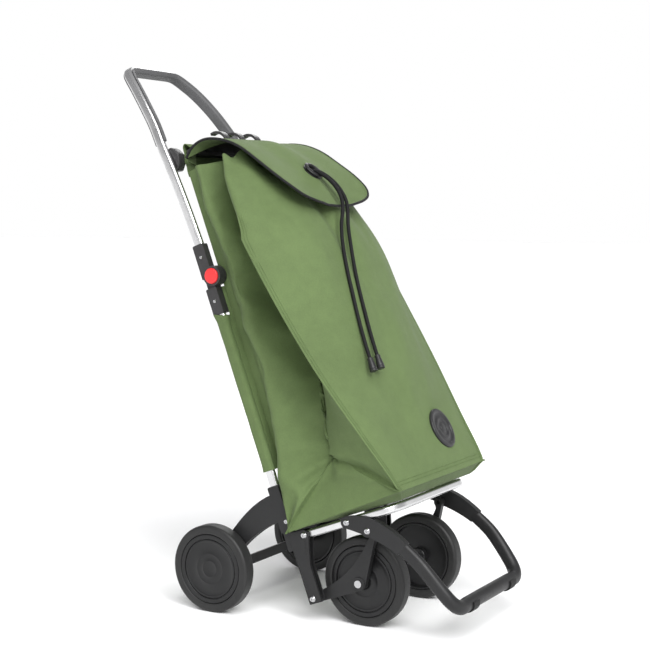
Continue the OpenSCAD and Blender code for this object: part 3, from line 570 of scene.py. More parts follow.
BACK = 0.003
REAR_HALF = 0.136
BAG_LOW = 0.128
SPLIT_LEVEL = 5
ROWS_PER_LEVEL = 14
# Each level: height, half width at the front seams, place of the front seams, bulge of the
# front panel, half width and place of the rear lips, half width and place of the side creases
LEVELS = [
    (0.128, 0.178, 0.251, 0.004, 0.174, -0.003, 0.172, 0.130),
    (0.168, 0.185, 0.244, 0.009, 0.173, 0.000, 0.164, 0.132),
    (0.240, 0.198, 0.227, 0.018, 0.170, 0.016, 0.150, 0.130),
    (0.363, 0.222, 0.197, 0.042, 0.169, 0.043, 0.108, 0.122),
    (0.478, 0.233, 0.171, 0.062, 0.169, 0.045, 0.088, 0.112),
    (0.607, 0.236, 0.144, 0.080, 0.169, 0.045, 0.082, 0.102),
    (0.715, 0.222, 0.119, 0.078, 0.166, 0.043, 0.088, 0.092),
    (0.776, 0.205, 0.109, 0.052, 0.162, 0.039, 0.092, 0.084),
    (0.830, 0.172, 0.105, 0.012, 0.156, 0.037, 0.094, 0.076)]
LEVEL_ROWS = smooth(LEVELS, ROWS_PER_LEVEL)
FOLD_VERTEX = Vector((0.150, 0.130))
FOLD_VERTEX_UP = 0.240
REAR_CORNER = Vector((0.174, -0.002))
FRONT_CORNER = Vector((0.178, 0.251))
FRONT_RISE = 0.013


def level_at(up):
    """The bag's measures at any height."""
    for low, high in zip(LEVEL_ROWS, LEVEL_ROWS[1:]):
        if up <= high[0]:
            return low.lerp(high, clamp((up - low[0]) / (high[0] - low[0])))
    return LEVEL_ROWS[-1]


def rounded_run(corners, counts, radii):
    """Points along straight runs between corners, with each corner eased over its radius."""
    points = []
    last = len(corners) - 1
    cut = []
    for i, corner in enumerate(corners):
        if i in (0, last):
            cut.append((corner, corner))
            continue
        back, ahead = corners[i - 1] - corner, corners[i + 1] - corner
        radius = min(radii[i], back.length * 0.45, ahead.length * 0.45)
        enter = corner + back.normalized() * radius if radius else corner
        leave = corner + ahead.normalized() * radius if radius else corner
        cut.append((enter, leave))
    for i in range(last):
        start, end = cut[i][1], cut[i + 1][0]
        points += [start.lerp(end, k / counts[i]) for k in range(counts[i])]
        if i + 1 < last:
            enter, leave = cut[i + 1]
            for k in range(6):
                t = k / 6
                points.append(enter * (1 - t) ** 2 + corners[i + 1] * 2 * t * (1 - t) + leave * t * t)
    return points + [corners[-1]]


RUNS = [12, 4, 8, 14, 14, 14]
FRONT_COLS = 30


def side_run(v):
    """Half section from the middle of the back to the front seam, as (across, forward)."""
    up, seam, seam_fwd, lip, lip_fwd = v[0], v[1], v[2], v[4], v[5]
    low = clamp((FOLD_VERTEX_UP - up) / (FOLD_VERTEX_UP - BAG_LOW))
    if low > 0:
        rear_crease = FOLD_VERTEX.lerp(REAR_CORNER, low)
        front_crease = FOLD_VERTEX.lerp(FRONT_CORNER, low)
    else:
        rear_crease = front_crease = Vector((v[6], v[7]))
    pinch = 0.007 * hump(up, 0.545, 0.016)
    step = lerp(0.001, 0.021, ease(up, 0.17, 0.36))
    corners = [Vector((0, BACK)), Vector((REAR_HALF, BACK)), Vector((REAR_HALF + 0.003, BACK + step)),
               Vector((lip - pinch, lip_fwd + pinch)), rear_crease, front_crease, Vector((seam, seam_fwd))]
    crisp = lerp(0.010, 0.0025, ease(low, 0, 0.15))
    return rounded_run(corners, RUNS, [0, 0.003, 0.006, lerp(0.016, 0.008, low), crisp, crisp, 0])


def side_relief(share, up):
    """Soft dents of the gusset and the rear strip, zero at the back and at the front seam."""
    held = ease(share, 0.25, 0.42) * (1 - ease(share, 0.88, 1.0)) * (1 - 0.5 * ease(up, 0.76, 0.82))
    soft = (0.24 - abs(noise.noise(Vector((share * 4 + up * 5, up * 6.5, 2.3))))) * 0.022
    fine = (0.22 - abs(noise.noise(Vector((share * 9 - up * 6, up * 15, 6.1))))) * 0.009
    sag = 0.004 * math.sin(up * 34 + share * 5) * hump(up, 0.33, 0.12)
    corner = Vector((share - 0.66, (up - FOLD_VERTEX_UP) * 3.2))
    rays = math.cos(7 * math.atan2(corner.y, corner.x) + 0.6) * hump(corner.length, 0.15, 0.11) * 0.0045
    return held * (soft + fine + sag + rays)


def front_relief(k, up):
    """Folds of the front panel; k is the share of its half width, from -1 to 1."""
    edge = 1 - abs(k) ** 4
    gather = ease(up, 0.66, 0.83)
    pleats = 0.0065 * math.cos(k * 19 + 1.2 * math.sin(k * 5)) * gather
    soft = 0.010 * noise.noise(Vector((k * 1.5, up * 4.2, 3.1)))
    fine = 0.0035 * noise.noise(Vector((k * 3.7, up * 9.5, 7.7)))
    upper = ease(up, 0.30, 0.62)
    valley = -0.011 * hump(k, -0.16 + 0.25 * (0.78 - up), 0.11) * upper * ease(up, 0.40, 0.72)
    ridge = 0.008 * hump(k, -0.52 + 0.22 * (0.62 - up), 0.20) * hump(up, 0.58, 0.16)
    tuck = -0.006 * hump(k, 0.36 - 0.2 * (0.78 - up), 0.10) * ease(up, 0.45, 0.75)
    curl = -0.007 * hump(k, -0.66, 0.10) * hump(up, 0.70, 0.035)
    still = ease(up, 0.14, 0.30)
    relief = edge * (pleats + 1.5 * (valley + ridge + tuck + curl) + 1.3 * (soft + fine) * still)
    under_cords = hump(k, -0.03 - 0.42 * ease(up, 0.78, 0.38), 0.20) if up < 0.78 else 0.0
    return relief if relief < 0 else relief * (1 - under_cords)


def front_point(k, v):
    """Point of the front panel, as (across, forward, up), before the bottom's rise."""
    up = v[0]
    fwd = v[2] + v[3] * (1 - k * k) + front_relief(k, up)
    return Vector((v[1] * k, fwd, up))


def raised(point):
    """The bottom of the bag rises a little towards the front."""
    low = clamp((FOLD_VERTEX_UP - point.z) / (FOLD_VERTEX_UP - BAG_LOW))
    return Vector((point.x, point.y, point.z + FRONT_RISE * low * clamp(point.y / FRONT_CORNER.y)))


def top_notch(point):
    """The gathered top edge dips where the side folds meet the front panel."""
    near_top = ease(point.z, 0.77, 0.83)
    dip = 0.012 * hump(abs(point.x), 0.140, 0.012) * hump(point.y, 0.100, 0.03)
    round_off = 0.013 * hump(abs(point.x), 0.172, 0.012) * hump(point.y, 0.105, 0.03)
    wave = 0.0022 * math.sin(point.x * 130) * ease(point.y, 0.06, 0.11)
    return Vector((point.x, point.y, point.z - near_top * (dip + round_off + wave)))


def bag_row(v):
    """One ring of the bag, from the middle of the back round the left side and back again."""
    v = v.copy()
    v[1] -= 0.006 * clamp((0.137 - v[0]) / 0.009) ** 2
    side = side_run(v)
    count = len(side)
    half = []
    for i, place in enumerate(side):
        before, after = side[max(i - 1, 0)], side[min(i + 1, count - 1)]
        run = after - before
        out = Vector((run.y, -run.x)).normalized() if run.length > 1e-9 else Vector((1, 0))
        moved = place + out * side_relief(i / (count - 1), v[0])
        half.append(Vector((moved.x, moved.y, v[0])))
    mirrored = [Vector((-p.x, p.y, p.z)) for p in half]
    front = [front_point(1 - 2 * k / (2 * FRONT_COLS), v) for k in range(1, 2 * FRONT_COLS)]
    ring = half + front + mirrored[:0:-1]
    for _ in range(round(26 * ease(v[0], 0.64, 0.76))):
        for seam in (count - 1, len(ring) - count + 1):
            near = range(seam - 7, seam + 8)
            eased = [ring[i].lerp((ring[i - 1] + ring[i + 1]) / 2, 0.5 * (1 - abs(i - seam) / 8))
                     for i in near]
            for i, p in zip(near, eased):
                ring[i] = p
    return [top_notch(raised(p)) for p in ring]


BAG_RINGS = [bag_row(v) for v in LEVEL_ROWS]


def bag_part(name, rings, body, *stands_for):
    cols = len(rings[0])
    weave = []
    for ring in rings:
        run = 0.0
        for k, p in enumerate(ring):
            run += (p - ring[k - 1]).length if k else 0.0
            weave.append((run, p.z))
    piece = mesh_piece(name, [at(*p) for ring in rings for p in ring], quads(len(rings), cols, True), weave)
    tidy(piece, 2e-5)
    thicken(piece, 0.0016, lined=True)
    settle(piece, body, "green_fabric", [fabric, lining], *stands_for)
    crumple(piece)
    return piece


def make_bag():
    split = SPLIT_LEVEL * ROWS_PER_LEVEL
    bag_part("bag_walls_lower", BAG_RINGS[:split + 1], "frame", "bag_lower")
    bag_part("bag_walls_upper", BAG_RINGS[split:], "handle", "bag_upper")


def floor_up(fwd):
    """Height of the bag's floor, which clears the posts and lies on the platform in front of them."""
    return lerp(0.1290, 0.1256, ease(fwd, 0.03, 0.08))


def make_floor():
    """Bottom of the bag: cloth that hangs a little between the platform's tubes, and its board."""
    rim = BAG_RINGS[0]
    middle = Vector((0, 0.135, BAG_LOW))
    rings = []
    shares = [0, 0.03, 0.06, 0.1, 0.14, 0.2, 0.3, 0.5, 0.7, 0.88]
    for share in shares:
        ring = []
        for p in rim:
            q = p.lerp(Vector((middle.x, middle.y, p.z)), share)
            ring.append(Vector((q.x, q.y, lerp(q.z, floor_up(q.y), ease(share, 0, 0.2)))))
        rings.append(ring)
    cols = len(rim)
    points = [at(*p) for ring in rings for p in ring] + [at(middle.x, middle.y, floor_up(middle.y))]
    faces = quads(len(rings), cols, True)
    centre = len(points) - 1
    faces += [((len(rings) - 1) * cols + k, (len(rings) - 1) * cols + (k + 1) % cols, centre)
              for k in range(cols)]
    weave = [(p.x, p.y) for ring in rings for p in ring] + [(0, 0)]
    piece = mesh_piece("bag_floor", points, faces, weave)
    tidy(piece, 2e-5)
    thicken(piece, 0.0014, lined=True, outward=0)
    # The outer face of the bag's bottom takes the darker green copy: painted shade on the downward face.
    settle(piece, "platform", "green_fabric", [underside_shade_fabric, lining])
    tuple(at(0, 0.1, BAG_LOW))
    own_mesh(piece)
    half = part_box("base_board")[1][0]
    corners = [(-half, 0.046), (half, 0.046), (half, 0.238), (-half, 0.238)]
    bottom = [at(x, fwd, 0.1305) for x, fwd in corners]
    top = [p + UPWARD * 0.003 for p in bottom]
    board = mesh_piece("bag_board", bottom + top, [(0, 1, 2, 3), (7, 6, 5, 4), (0, 4, 5, 1), (1, 5, 6, 2),
                                                   (2, 6, 7, 3), (3, 7, 4, 0)])
    tidy(board)
    soften(board, 0.0012, 3)
    settle_modifiers(board)
    settle(board, "platform", "board", board_black, "base_board")
    tuple(at(0, 0.1, BAG_LOW))
    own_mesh(board)


def surface_normal(line_a, line_b, i):
    """Outward direction between two neighbouring lines on a surface."""
    last = len(line_a) - 1
    along = line_a[min(i + 1, last)] - line_a[max(i - 1, 0)]
    return along.cross(line_b[i] - line_a[i]).normalized()


def stitches(name, path, normals, body, pitch=0.0042, length=0.0029, radius=0.00042):
    """A row of thread stitches that stand on a surface along a path."""
    points, faces = [], []
    shape = [(-0.5, -0.6), (-0.32, 0.5), (0, 0.9), (0.32, 0.5), (0.5, -0.6)]
    total, walked, i = length_of(path), 0.0, 0
    sides = 5
    for k in range(1, int(total / pitch)):
        while i < len(path) - 2 and walked + (path[i + 1] - path[i]).length < k * pitch:
            walked += (path[i + 1] - path[i]).length
            i += 1
        step = path[i + 1] - path[i]
        centre = path[i].lerp(path[i + 1], clamp((k * pitch - walked) / max(step.length, 1e-9)))
        along, out = step.normalized(), normals[i]
        side = along.cross(out).normalized()
        base = len(points)
        for share, height in shape:
            for s in range(sides):
                turn = 2 * math.pi * s / sides
                points.append(centre + along * share * length + out * radius * (height + math.sin(turn))
                              + side * radius * math.cos(turn))
        faces += [tuple(base + v for v in face) for face in quads(len(shape), sides, True)]
        faces += [tuple(base + s for s in range(sides))[::-1],
                  tuple(base + (len(shape) - 1) * sides + s for s in range(sides))]
    piece = mesh_piece(name, points, faces, [(p.x, p.z) for p in points])
    settle(piece, body, "green_fabric", thread)
    crumple(piece)
    return piece


SEAM_COL = len(side_run(LEVEL_ROWS[0])) - 1
SEAM_RUN = 12


def make_bag_seams():
    """Raised seams down the front corners and their rows of stitches, on each side of the split."""
    split = SPLIT_LEVEL * ROWS_PER_LEVEL
    cols = len(BAG_RINGS[0])
    for part, rows, body in (("lower", BAG_RINGS[:split + 1], "frame"),
                             ("upper", BAG_RINGS[split:split + SEAM_RUN], "handle")):
        for side, sign in SIDES.items():
            column = SEAM_COL if sign > 0 else cols - SEAM_COL
            seam = [at(*ring[column]) for ring in rows]
            inner = [at(*ring[column + sign]) for ring in rows]
            bead = sweep(f"seam_bead_{part}_{side}", seam, circle(0.0017, 10))
            settle(bead, body, "green_fabric", fabric)
            crumple(bead)
            out = [surface_normal(seam, inner, i) * sign for i in range(len(rows))]
            out = [n if n.dot(FORWARD) > 0 else -n for n in out]
            for offset, distance in (("near", 0.0045), ("far", 0.0095)):
                line = [a + (b - a).normalized() * distance + n * 0.0006
                        for a, b, n in zip(seam, inner, out)]
                stitches(f"seam_stitches_{offset}_{part}_{side}", line, out, body)


def make_hem():
    """Stitched hem along the bottom of the front panel."""
    for level, name in ((0.139, "low"), (0.146, "high")):
        v = level_at(level)
        ks = [0.97 - 1.94 * k / 120 for k in range(121)]
        line = [at(*(raised(front_point(k, v)) + Vector((0, 0.0007, 0)))) for k in ks]
        stitches(f"hem_stitches_{name}", line, [FORWARD] * len(line), "frame")


def make_net():
    """Net that closes the top of the bag, drawn together round the cord."""
    top = BAG_RINGS[-1]
    middle = Vector((0, 0.088, 0.0))
    rings = []
    steps = 16
    for step in range(steps + 1):
        share = step / steps
        drawn = 0.86 * share ** 0.8
        ring = []
        for k, p in enumerate(top):
            q = p.lerp(Vector((middle.x, middle.y, p.z)), 0.015 + drawn)
            ripple = 0.0032 * share * math.sin(2 * math.pi * 34 * k / len(top))
            rise = -0.006 - 0.016 * math.sin(share * math.pi * 0.8) + 0.020 * share ** 3
            ring.append(at(q.x, q.y, q.z + rise + ripple))
        rings.append(ring)
    cols = len(top)
    weave = [(k * 0.006 * (1 - 0.8 * i / steps), i * 0.006) for i in range(len(rings)) for k in range(cols)]
    points = [p for ring in rings for p in ring]
    piece = mesh_piece("closing_net", points, quads(len(rings), cols, True), weave)
    tidy(piece)
    thicken(piece, 0.0008)
    settle(piece, "handle", "black_trim", net)
    crumple(piece)
    mouth = [rings[-1][k] for k in range(0, cols, 2)]
    mouth.append(mouth[0])
    hem = sweep("net_hem", spaced(smooth(mouth, 2), 0.003), circle(0.0026, 10), ahead=UPWARD)
    settle(hem, "handle", "black_trim", binding)
    crumple(hem)


def make_cord_roots():
    """The cord's two strands from the net's mouth, over the bag's hem and out to the eyelet."""
    for letter, sign in (("a", -1), ("b", 1)):
        shift = 0.003 * sign
        start = Vector(ROUTES[letter][0])
        ahead = Vector(ROUTES[letter][1])
        line = smooth([at(shift * 2, 0.086, 0.826), at(shift * 2, 0.100, 0.832),
                       at(shift * 1.6, 0.118, 0.831), at(shift * 1.4, 0.138, 0.812),
                       at(shift * 1.3, 0.156, 0.790),
                       at(start.x, 0.176, 0.7715), at(*start), at(*ahead)], 10)[:-10]
        cord = braided_tube(f"drawcord_{letter}_root", spaced(line, 0.0013))
        settle(cord, "handle", "black_trim", braid)
        crumple(cord)


make_bag()
make_floor()
make_bag_seams()
make_hem()
make_net()
make_cord_roots()


# ------------------------------------------------------------------ flap

# Share of the flap's length, its middle line (forward, up) and its edge (half width, forward, up)
FLAP_ROWS = [
    (0.00, 0.064, 0.8745, 0.148, 0.018, 0.853),
    (0.06, 0.068, 0.8742, 0.146, 0.036, 0.867),
    (0.12, 0.075, 0.8720, 0.143, 0.058, 0.872),
    (0.20, 0.087, 0.8660, 0.142, 0.080, 0.867),
    (0.32, 0.110, 0.8520, 0.144, 0.110, 0.851),
    (0.43, 0.134, 0.8290, 0.147, 0.138, 0.826),
    (0.55, 0.163, 0.7930, 0.149, 0.165, 0.790),
    (0.67, 0.186, 0.7560, 0.149, 0.189, 0.756),
    (0.80, 0.204, 0.7170, 0.141, 0.209, 0.724),
    (0.91, 0.212, 0.6970, 0.122, 0.218, 0.703),
    (0.975, 0.2155, 0.6875, 0.094, 0.221, 0.692),
    (1.00, 0.217, 0.6840, 0.066, 0.2205, 0.6865)]
FLAP_LINES = smooth(FLAP_ROWS, 6)
FLAP_COLS = 72
EYELET_PLACE = (0.002, 0.1865, 0.7655)


def flap_point(v, t):
    """Point of the flap's middle layer; t runs across it from -1 to 1."""
    pull = abs(t) ** 2.4
    lift = 0.0022 * noise.noise(Vector((t * 2.1, v[0] * 3.2, 5.5)))
    wave = 0.0035 * math.sin(t * 7 + 1.0) * hump(v[0], 0.45, 0.25) * (1 - t * t)
    fwd = lerp(v[1], v[4], pull)
    up = lerp(v[2], v[5], pull)
    return at(v[3] * t, fwd + (lift + wave) * 0.6, up + (lift + wave) * 0.8)


def flap_edge():
    """The flap's free edge, from one rear corner round the front to the other."""
    ts = [1 - 2 * k / FLAP_COLS for k in range(FLAP_COLS + 1)]
    return ([flap_point(v, 1) for v in FLAP_LINES[:-1]] + [flap_point(FLAP_LINES[-1], t) for t in ts]
            + [flap_point(v, -1) for v in FLAP_LINES[-2::-1]])


def make_flap():
    eye = at(*EYELET_PLACE)
    rows, cols = len(FLAP_LINES), FLAP_COLS + 1
    points, weave = [], []
    for v in FLAP_LINES:
        for j in range(cols):
            t = 1 - 2 * j / FLAP_COLS
            points.append(flap_point(v, t))
            weave.append((v[3] * t, v[0] * 0.32))
    piece = mesh_piece("flap_cloth", points, quads(rows, cols), weave)
    dense = piece.modifiers.new("finer", "SUBSURF")
    dense.levels = dense.render_levels = 1
    settle_modifiers(piece)
    shape = bmesh.new()
    shape.from_mesh(piece.data)
    gone = [face for face in shape.faces if (face.calc_center_median() - eye).length < 0.0155]
    bmesh.ops.delete(shape, geom=gone, context="FACES")
    shape.to_mesh(piece.data)
    shape.free()
    if piece.data.polygons[0].normal.dot(UPWARD) < 0:
        piece.data.flip_normals()
    wide, long = 2 * max(v[3] for v in FLAP_LINES), length_of([flap_point(v, 0) for v in FLAP_LINES])
    thicken(piece, 0.0024, lined=True, outward=0)
    # The flap's underside takes the darker green copy: painted shade on the downward face.
    settle(piece, "flap", "green_fabric", [fabric, underside_shade_fabric], "flap")
    crumple(piece)
    edge = spaced(flap_edge(), 0.004)
    centre = at(0, 0.12, 0.80)
    outside = [p + (p - centre).normalized() * 0.0012 for p in edge]
    piping = sweep("flap_binding", outside, circle(0.0025, 12), ahead=UPWARD)
    settle(piping, "flap", "black_trim", binding, "flap_piping")
    crumple(piping)


def make_flap_stitches():
    """Row of stitches that holds the binding, just inside the flap's edge."""
    line, normals = [], []
    inset = 0.955
    track = [(v, inset) for v in FLAP_LINES[:-4]]
    track += [(FLAP_LINES[-4], inset - 2 * inset * k / FLAP_COLS) for k in range(1, FLAP_COLS)]
    track += [(v, -inset) for v in FLAP_LINES[-4::-1]]
    for v, t in track:
        p = flap_point(v, t)
        i = min(range(len(FLAP_LINES)), key=lambda n: abs(FLAP_LINES[n][0] - v[0]))
        after = flap_point(FLAP_LINES[min(i + 1, len(FLAP_LINES) - 1)], t)
        before = flap_point(FLAP_LINES[max(i - 1, 0)], t)
        beside = flap_point(v, t - 0.02)
        out = (after - before).cross(beside - p).normalized()
        out = out if out.dot(UPWARD + FORWARD) > 0 else -out
        line.append(p + out * 0.0013)
        normals.append(out)
    stitches("flap_stitches", line, normals, "flap")


def make_eyelet():
    eye = at(*EYELET_PLACE)
    tilt = (FLAP_LINES[44][1] - FLAP_LINES[38][1], FLAP_LINES[44][2] - FLAP_LINES[38][2])
    out = (FORWARD * -tilt[1] + UPWARD * tilt[0]).normalized()
    profile = [(0.0140, -0.0030), (0.0134, 0.0), (0.0136, 0.0026), (0.0146, 0.0040), (0.0164, 0.0044),
               (0.0186, 0.0038), (0.0204, 0.0026), (0.0212, 0.0013), (0.0208, 0.0006), (0.0150, 0.0004),
               (0.0150, -0.0026), (0.0200, -0.0028), (0.0204, -0.0036), (0.0190, -0.0046),
               (0.0160, -0.0048)]
    piece = lathe("cord_eyelet", profile, eye, out, 72, closed=True)
    settle(piece, "flap", "charcoal_plastic", charcoal, "eyelet")
    crumple(piece)


make_flap()
make_flap_stitches()
make_eyelet()


# ------------------------------------------------------------------ top panel and sleeves

RAIL_UP = 0.874
RAIL_REAR = -0.004


def make_top_panel():
    """Cloth from the top of the bag's back, up behind the rail and over it."""
    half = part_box("hook_rail")[1][0] + 0.0005
    track = smooth([(BACK - 0.0015, 0.822), (BACK - 0.003, 0.840), (RAIL_REAR - 0.003, 0.858),
                    (RAIL_REAR - 0.004, 0.872), (RAIL_REAR - 0.003, 0.885), (RAIL_REAR + 0.002, 0.8905),
                    (RAIL_REAR + 0.008, 0.887), (RAIL_REAR + 0.014, 0.8805),
                    (RAIL_REAR + 0.034, 0.8797)], 6)
    cols = 60
    points, weave = [], []
    run = 0.0
    for i, place in enumerate(track):
        run += (place - track[i - 1]).length if i else 0.0
        spread = lerp(0.134, half, ease(place.y, 0.83, 0.875))
        for j in range(cols + 1):
            t = 1 - 2 * j / cols
            soft = 0.0016 * noise.noise(Vector((t * 4, run * 30, 1.7))) * hump(place.y, 0.85, 0.02)
            points.append(at(spread * t, place.x + soft, place.y))
            weave.append((spread * t, run))
    piece = mesh_piece("rail_cover", points, quads(len(track), cols + 1), weave)
    thicken(piece, 0.0014, outward=0)
    settle(piece, "handle", "green_fabric", fabric, "top_panel")


def make_wings():
    """Cloth wings between the bag's rear corners and the hood of the flap."""
    for side, sign in SIDES.items():
        rows, cols = 14, 18
        points, weave = [], []
        for i in range(rows + 1):
            s = i / rows
            for j in range(cols + 1):
                t = j / cols
                low_edge = Vector((lerp(0.100, 0.147, t), lerp(0.002, 0.016, t), lerp(0.846, 0.848, t)))
                high_edge = Vector((lerp(0.100, 0.146, t), lerp(0.040, 0.026, t), lerp(0.879, 0.859, t)))
                p = low_edge.lerp(high_edge, s)
                belly = 0.010 * math.sin(math.pi * s)
                points.append(at(sign * p.x, p.y - belly * (1 - t * 0.6), p.z + belly * 0.6))
                weave.append((t * 0.05, s * 0.05))
        piece = mesh_piece(f"hood_corner_{side}", points, quads(rows + 1, cols + 1), weave)
        thicken(piece, 0.0014, outward=0)
        settle(piece, "handle", "green_fabric", fabric)


def make_sleeves():
    """Fabric sleeves of the bag round the lower side tubes, with a loose top edge."""
    for side, sign in SIDES.items():
        low, high = 0.246, 0.551
        rows = 60
        rings = []
        for i in range(rows + 1):
            share = i / rows
            up = lerp(low, high, share)
            flare = 0.0022 * ease(share, 0.93, 1.0) + 0.0007 * ease(0.04 - share, 0, 0.04)
            ring = []
            for k, (across, ahead) in enumerate(oval(0.0165, 0.0250, 36)):
                soft = 1 + 0.05 * noise.noise(Vector((k * 0.35, up * 30, 4.0 + sign)))
                grow = soft + flare / 0.008
                ring.append(at(sign * 0.150 + across * grow, -0.012 + ahead * grow,
                               up - 0.006 * ease(share, 0.5, 1.0) * ahead / 0.012))
            rings.append(ring)
        piece = loft(f"tube_sleeve_{side}", rings, capped=False)
        thicken(piece, 0.0010, lined=False, outward=1)
        settle(piece, "frame", "green_fabric", fabric, f"sleeve_{side}")
        webs, weave = [], []
        for i in range(rows + 1):
            up = lerp(low, 0.602, i / rows)
            edge = 0.148 if up < high - 0.004 else 0.1405
            for j in range(5):
                webs.append(at(sign * lerp(edge, 0.134, j / 4), lerp(0.0005, 0.0045, j / 4), up))
                weave.append((j * 0.003, up))
        web = mesh_piece(f"sleeve_web_{side}", webs, quads(rows + 1, 5), weave)
        thicken(web, 0.0016, outward=0)
        settle(web, "frame", "green_fabric", fabric)


make_top_panel()
make_wings()
make_sleeves()


# ------------------------------------------------------------------ badge

def make_badge():
    """Round badge of plain concentric rings on the front panel."""
    low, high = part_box("badge")
    middle = Vector(low).lerp(Vector(high), 0.5)
    x = middle.x
    rel = middle - fork_pin
    up = rel.dot(UPWARD)
    v = level_at(up)
    reach = 0.03
    above, below = level_at(up + reach), level_at(up - reach)
    k = x / v[1]
    centre = raised(front_point(k, v))
    tall = raised(front_point(x / above[1], above)) - raised(front_point(x / below[1], below))
    wide = front_point((x + reach) / v[1], v) - front_point((x - reach) / v[1], v)
    axis = at(*wide.cross(tall)) - at(0, 0, 0)
    axis = axis if axis.dot(FORWARD) > 0 else -axis
    profile = [(0, -0.001), (0.0388, -0.001), (0.0394, 0.0), (0.0394, 0.0030), (0.0386, 0.0042),
               (0.0370, 0.0047), (0.0322, 0.0047), (0.0314, 0.0043), (0.0310, 0.0034), (0.0302, 0.0030),
               (0.0224, 0.0030), (0.0218, 0.0034), (0.0214, 0.0042), (0.0206, 0.0045), (0.0176, 0.0045),
               (0.0168, 0.0042), (0.0164, 0.0034), (0.0158, 0.0030), (0.0092, 0.0030), (0.0086, 0.0034),
               (0.0082, 0.0042), (0.0074, 0.0045), (0, 0.0046)]
    piece = lathe("front_badge", profile, at(*centre), axis, 128)
    piece.data.set_sharp_from_angle(angle=math.radians(40))
    settle(piece, "frame", "charcoal_plastic", badge_grey, "badge")
    crumple(piece)


make_badge()


# ------------------------------------------------------------------ handle

HANDLE_RISE = 0.466
HANDLE_TOP_HALF = 0.075
HANDLE_LEAN = 0.089
FRAME_HALF = 0.150
TUBE_FWD = -0.012
HANDLE_LOW = HINGE_UP + 0.0207
# Shares of the rise, of the narrowing and of the lean along one side of the arch
HANDLE_SHAPE = [
    (0.15, 0, 0), (0.3, 0.01, 0.045), (0.45, 0.065, 0.135), (0.58, 0.18, 0.27), (0.69, 0.325, 0.39),
    (0.8, 0.465, 0.56), (0.9, 0.65, 0.76), (0.965, 0.83, 0.93), (0.993, 0.95, 0.99), (1, 1.1, 1)]
HANDLE_STEPS = 9


def handle_half():
    points = [(lerp(FRAME_HALF, HANDLE_TOP_HALF, narrow), TUBE_FWD - HANDLE_LEAN * back,
               HINGE_UP + HANDLE_RISE * rise) for rise, narrow, back in HANDLE_SHAPE]
    low = Vector((FRAME_HALF, TUBE_FWD, HANDLE_LOW))
    first = Vector(points[0])
    straight = [low.lerp(first, k / 12) for k in range(12)]
    return straight + smooth(points, HANDLE_STEPS)


def rounded(path, above, rounds):
    """Eases the bends of a path above a height, so that they have no corners."""
    for _ in range(rounds):
        path = [path[0]] + [p.lerp((a + b) / 2, 0.5 * ease((p - fork_pin).dot(UPWARD), above, above + 0.05))
                            for a, p, b in zip(path, path[1:], path[2:])] + [path[-1]]
    return path


def both_sides(half):
    return [at(*p) for p in half] + [at(-p[0], p[1], p[2]) for p in half[::-1]]


def grooved_oval(width, depth, groove_at, groove_w, groove_d):
    """Flat-sided oval with one groove in its outer face."""
    section = []
    flat = (depth - width) / 2
    for k in range(13):
        turn = -math.pi / 2 + math.pi * k / 12 + math.pi / 2
        section.append((width / 2 * math.cos(turn), flat + width / 2 * math.sin(turn)))
    for place, inset in ((groove_at + groove_w, 0), (groove_at + groove_w * 0.6, groove_d),
                         (groove_at - groove_w * 0.6, groove_d), (groove_at - groove_w, 0)):
        section.append((-width / 2 + inset, place))
    for k in range(13):
        turn = math.pi + math.pi * k / 12
        section.append((width / 2 * math.cos(turn), -flat + width / 2 * math.sin(turn)))
    return section


def make_handle():
    half = handle_half()
    path = rounded(spaced(both_sides(half), 0.005), HINGE_UP + 0.33, 8)
    tube = sweep("handle_bar", path, grooved_oval(0.012, 0.020, 0.0035, 0.0008, 0.0007))
    tube.data.set_sharp_from_angle(angle=math.radians(38))
    settle(tube, "handle", "silver_tube", silver, "handle_tube")
    lowest = HINGE_UP + HANDLE_RISE * 0.605
    grip_path = [p for p in path if (p - fork_pin).dot(UPWARD) > lowest]
    reach, side = 0.0119, 0.006

    def section(share):
        end = ease(min(share, 1 - share), 0, 0.012)
        thick = side + 0.0005 + 0.0035 * end
        points = [(-0.0012, -reach), (side * 0.6, -reach - 0.0001), (side, -reach + 0.0003),
                  (lerp(side, thick, 0.6), -reach + 0.0014), (lerp(side, thick, 0.92), -reach + 0.0028),
                  (thick, -reach + 0.0050), (thick, 0), (thick, reach - 0.0050),
                  (lerp(side, thick, 0.92), reach - 0.0028), (lerp(side, thick, 0.6), reach - 0.0014),
                  (side, reach - 0.0003), (side * 0.6, reach + 0.0001), (-0.0012, reach),
                  (-0.0017, reach - 0.0006), (-0.0013, reach - 0.0014)]
        points += [(side * 0.45, 0.0096), (side * 0.85, 0.0076), (side + 0.0001, 0.0046),
                   (side + 0.0001, -0.0046), (side * 0.85, -0.0076), (side * 0.45, -0.0096)]
        points += [(-0.0013, -reach + 0.0014), (-0.0017, -reach + 0.0006)]
        return points[::-1]

    grip = sweep("handle_grip_lining", grip_path, section)
    grip.data.set_sharp_from_angle(angle=math.radians(45))
    tidy(grip)
    settle(grip, "handle", "grip", grip_grey, "handle_grip")


make_handle()


